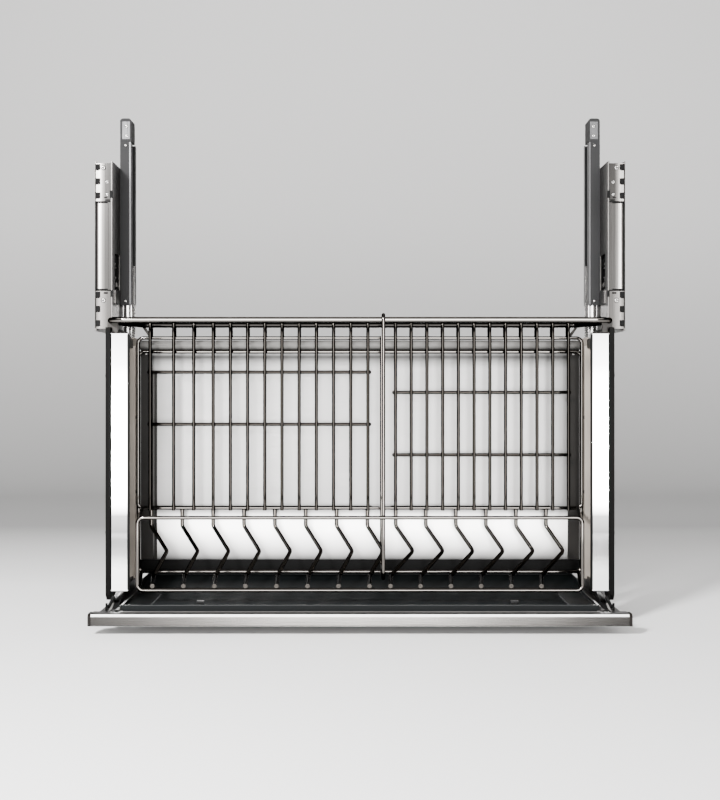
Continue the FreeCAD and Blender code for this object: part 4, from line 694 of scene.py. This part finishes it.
def tray_edges():
    """Painted highlight along the upper edge of the tray's front and side rims, and the lip below its front, dark,
    which also fills the gap above the handle as painted shade.
    """
    slabs("tray_front_highlight", "drip_tray", "tray_black", [((-361, 361), (19.9, 22.3), (31.0, 32.1))], 0.4, "rim_painted_highlight")
    # Lip below the tray's front: also painted shade in the gap above the handle.
    slabs("tray_front_lip", "drip_tray", "tray_black", [((-361, 361), (20.3, 22.6), (22.2, 24.9))], 0.5)
    for word, side in SIDES:
        work = bmesh.new()
        rim = [(22, 31.9), (157.5, 31.9), (215.7, 43.6), (283, 43.6)]
        prism(work, [(y, z - 0.8) for y, z in rim] + [(y, z + 0.15) for y, z in rim[::-1]], 361.6, 364.0,
              lambda y, z, x: bench(side * x, y, z))
        rounded(piece_from(work, word + "_tray_side_highlight", "drip_tray", "tray_black", look="rim_painted_highlight"), 0.25)


def tray_dots():
    """Row of small domes at each end of the tray's ribs."""
    work = bmesh.new()
    for side in (-1, 1):
        for i in range(9):
            ball(work, bench(side * 322, 42 + 13.5 * i, 27.4), 1.7, (1, 1, 0.8), 12)
    piece_from(work, "tray_rib_dots", "drip_tray", "tray_black", look="cap_inset")


for word, side in SIDES:
    unit_details(word, side)
    column_details(word, side)
    frame_details(word, side)
for node in ("left_fence", "right_fence", "left_floor_mat", "right_floor_mat"):
    wire_ends(node)
tray_dots()
tray_edges()
panel_edge()
handle_painted_light()

# Fences take the shaded copy of the wire steel, the frames and the divider the lit one: painted shade and painted
# light.
WIRE_LOOKS = {
    "left_fence": "fence_steel_shaded", "right_fence": "fence_steel_shaded", "front_wire_frame": "rail_steel_lit",
    "rear_wire_frame": "rail_steel_lit", "inner_wire_frame": "rail_steel_lit", "centre_divider": "rail_steel_lit",
}
for name, item in frame["nodes"].items():
    if not item.hide_render:
        item.data.materials.clear()
        item.data.materials.append(MATERIALS[WIRE_LOOKS.get(name, SLOT_OF[name])])


# Floor, light and camera

def stage_floor():
    """Pale worktop just below the handle that sweeps up behind; from half a metre behind the handle its colour darkens
    towards the back and up the sweep, as painted shade.
    """
    level = bench(0, 0, -12).z
    reach = 6.0
    bend = 1.2
    back = 2.4
    front = -1.3
    rows = [(front, level), (back, level)]
    rows += [(back + bend * math.sin(math.radians(a)), level + bend * (1 - math.cos(math.radians(a))))
             for a in range(5, 91, 5)]
    rows.append((back + bend, level + 5.0))
    mesh = bpy.data.meshes.new("floor")
    verts = [(x, y, z) for y, z in rows for x in (-reach, reach)]
    faces = [(2 * i, 2 * i + 1, 2 * i + 3, 2 * i + 2) for i in range(len(rows) - 1)]
    mesh.from_pydata(verts, [], faces)
    for face in mesh.polygons:
        face.use_smooth = True
    floor = new_piece("floor", mesh)
    material, tree, shader = new_material("floor_pale", (0.80, 0.795, 0.79), 0.0, 0.6)
    tint(tree, shader, noise(tree, 0.6), (0.79, 0.785, 0.78), (0.81, 0.805, 0.80))
    # Darker towards the back and up the sweep: painted shade.
    mesh.materials.append(graded(material, 1, [(-1500, 1.0), (500, 1.0), (1600, 0.27), (4000, 0.22)]))


def stage_world():
    """Soft studio: a strong narrow light in front, a band over it, one straight above, dark to the sides."""
    world = bpy.data.worlds.new("studio")
    bpy.context.scene.world = world
    world.use_nodes = True
    tree = world.node_tree
    nodes = tree.nodes
    links = tree.links
    background = nodes["Background"]
    place = nodes.new("ShaderNodeTexCoord")
    split = nodes.new("ShaderNodeSeparateXYZ")
    links.new(place.outputs["Generated"], split.inputs["Vector"])

    def ramp(output, low, high, light):
        ranged = nodes.new("ShaderNodeMapRange")
        ranged.interpolation_type = "SMOOTHSTEP"
        ranged.inputs["From Min"].default_value = low
        ranged.inputs["From Max"].default_value = high
        ranged.inputs["To Max"].default_value = light
        links.new(output, ranged.inputs["Value"])
        return ranged.outputs["Result"]

    def combine(operation, one, two):
        made = nodes.new("ShaderNodeMath")
        made.operation = operation
        links.new(one, made.inputs[0])
        links.new(two, made.inputs[1])
        return made.outputs["Value"]

    front = ramp(split.outputs["Y"], -0.925, -0.965, 36.0)
    above = ramp(split.outputs["Z"], 0.94, 0.985, 1.5)
    band = combine("MULTIPLY", ramp(split.outputs["Z"], 0.34, 0.46, 5.0), ramp(split.outputs["Y"], -0.35, -0.6, 1.0))
    band = combine("MULTIPLY", band, ramp(split.outputs["Z"], 0.72, 0.60, 1.0))
    most = combine("MAXIMUM", combine("MAXIMUM", front, above), band)
    lifted = nodes.new("ShaderNodeMath")
    lifted.operation = "ADD"
    lifted.inputs[1].default_value = 0.03
    links.new(most, lifted.inputs[0])
    background.inputs["Color"].default_value = (1.0, 0.99, 0.98, 1)
    links.new(lifted.outputs["Value"], background.inputs["Strength"])


def stage_light(name, place, aim, size, power):
    data = bpy.data.lights.new(name, "AREA")
    data.shape = "RECTANGLE"
    data.size, data.size_y = size
    data.energy = power
    item = bpy.data.objects.new(name, data)
    item.location = place
    item.rotation_euler = (Vector(aim) - Vector(place)).to_track_quat("-Z", "Y").to_euler()
    bpy.context.scene.collection.objects.link(item)


PIXEL_FOCUS = 1328
CAMERA_BACK = -2000
CAMERA_LEVEL = 362.2
HORIZON_SHIFT = 12
IMAGE_HEIGHT = 800
SENSOR = 36


def stage_camera():
    """Straight-on view from the photograph's place."""
    data = bpy.data.cameras.new("camera")
    data.sensor_width = SENSOR
    data.lens = PIXEL_FOCUS * SENSOR / IMAGE_HEIGHT
    data.shift_y = -HORIZON_SHIFT / IMAGE_HEIGHT
    camera = bpy.data.objects.new("camera", data)
    camera.location = bench(0, CAMERA_BACK, CAMERA_LEVEL)
    camera.rotation_euler = (math.pi / 2, 0, 0)
    bpy.context.scene.collection.objects.link(camera)
    bpy.context.scene.camera = camera


stage_floor()
stage_world()
stage_light("key_light", (-0.95, -2.0, 0.9), (0, 0.1, 0), (0.35, 0.35), 220)
stage_light("back_light", (0.0, 1.9, 2.6), (0, 3.4, 0.2), (3.0, 0.6), 60)
stage_camera()
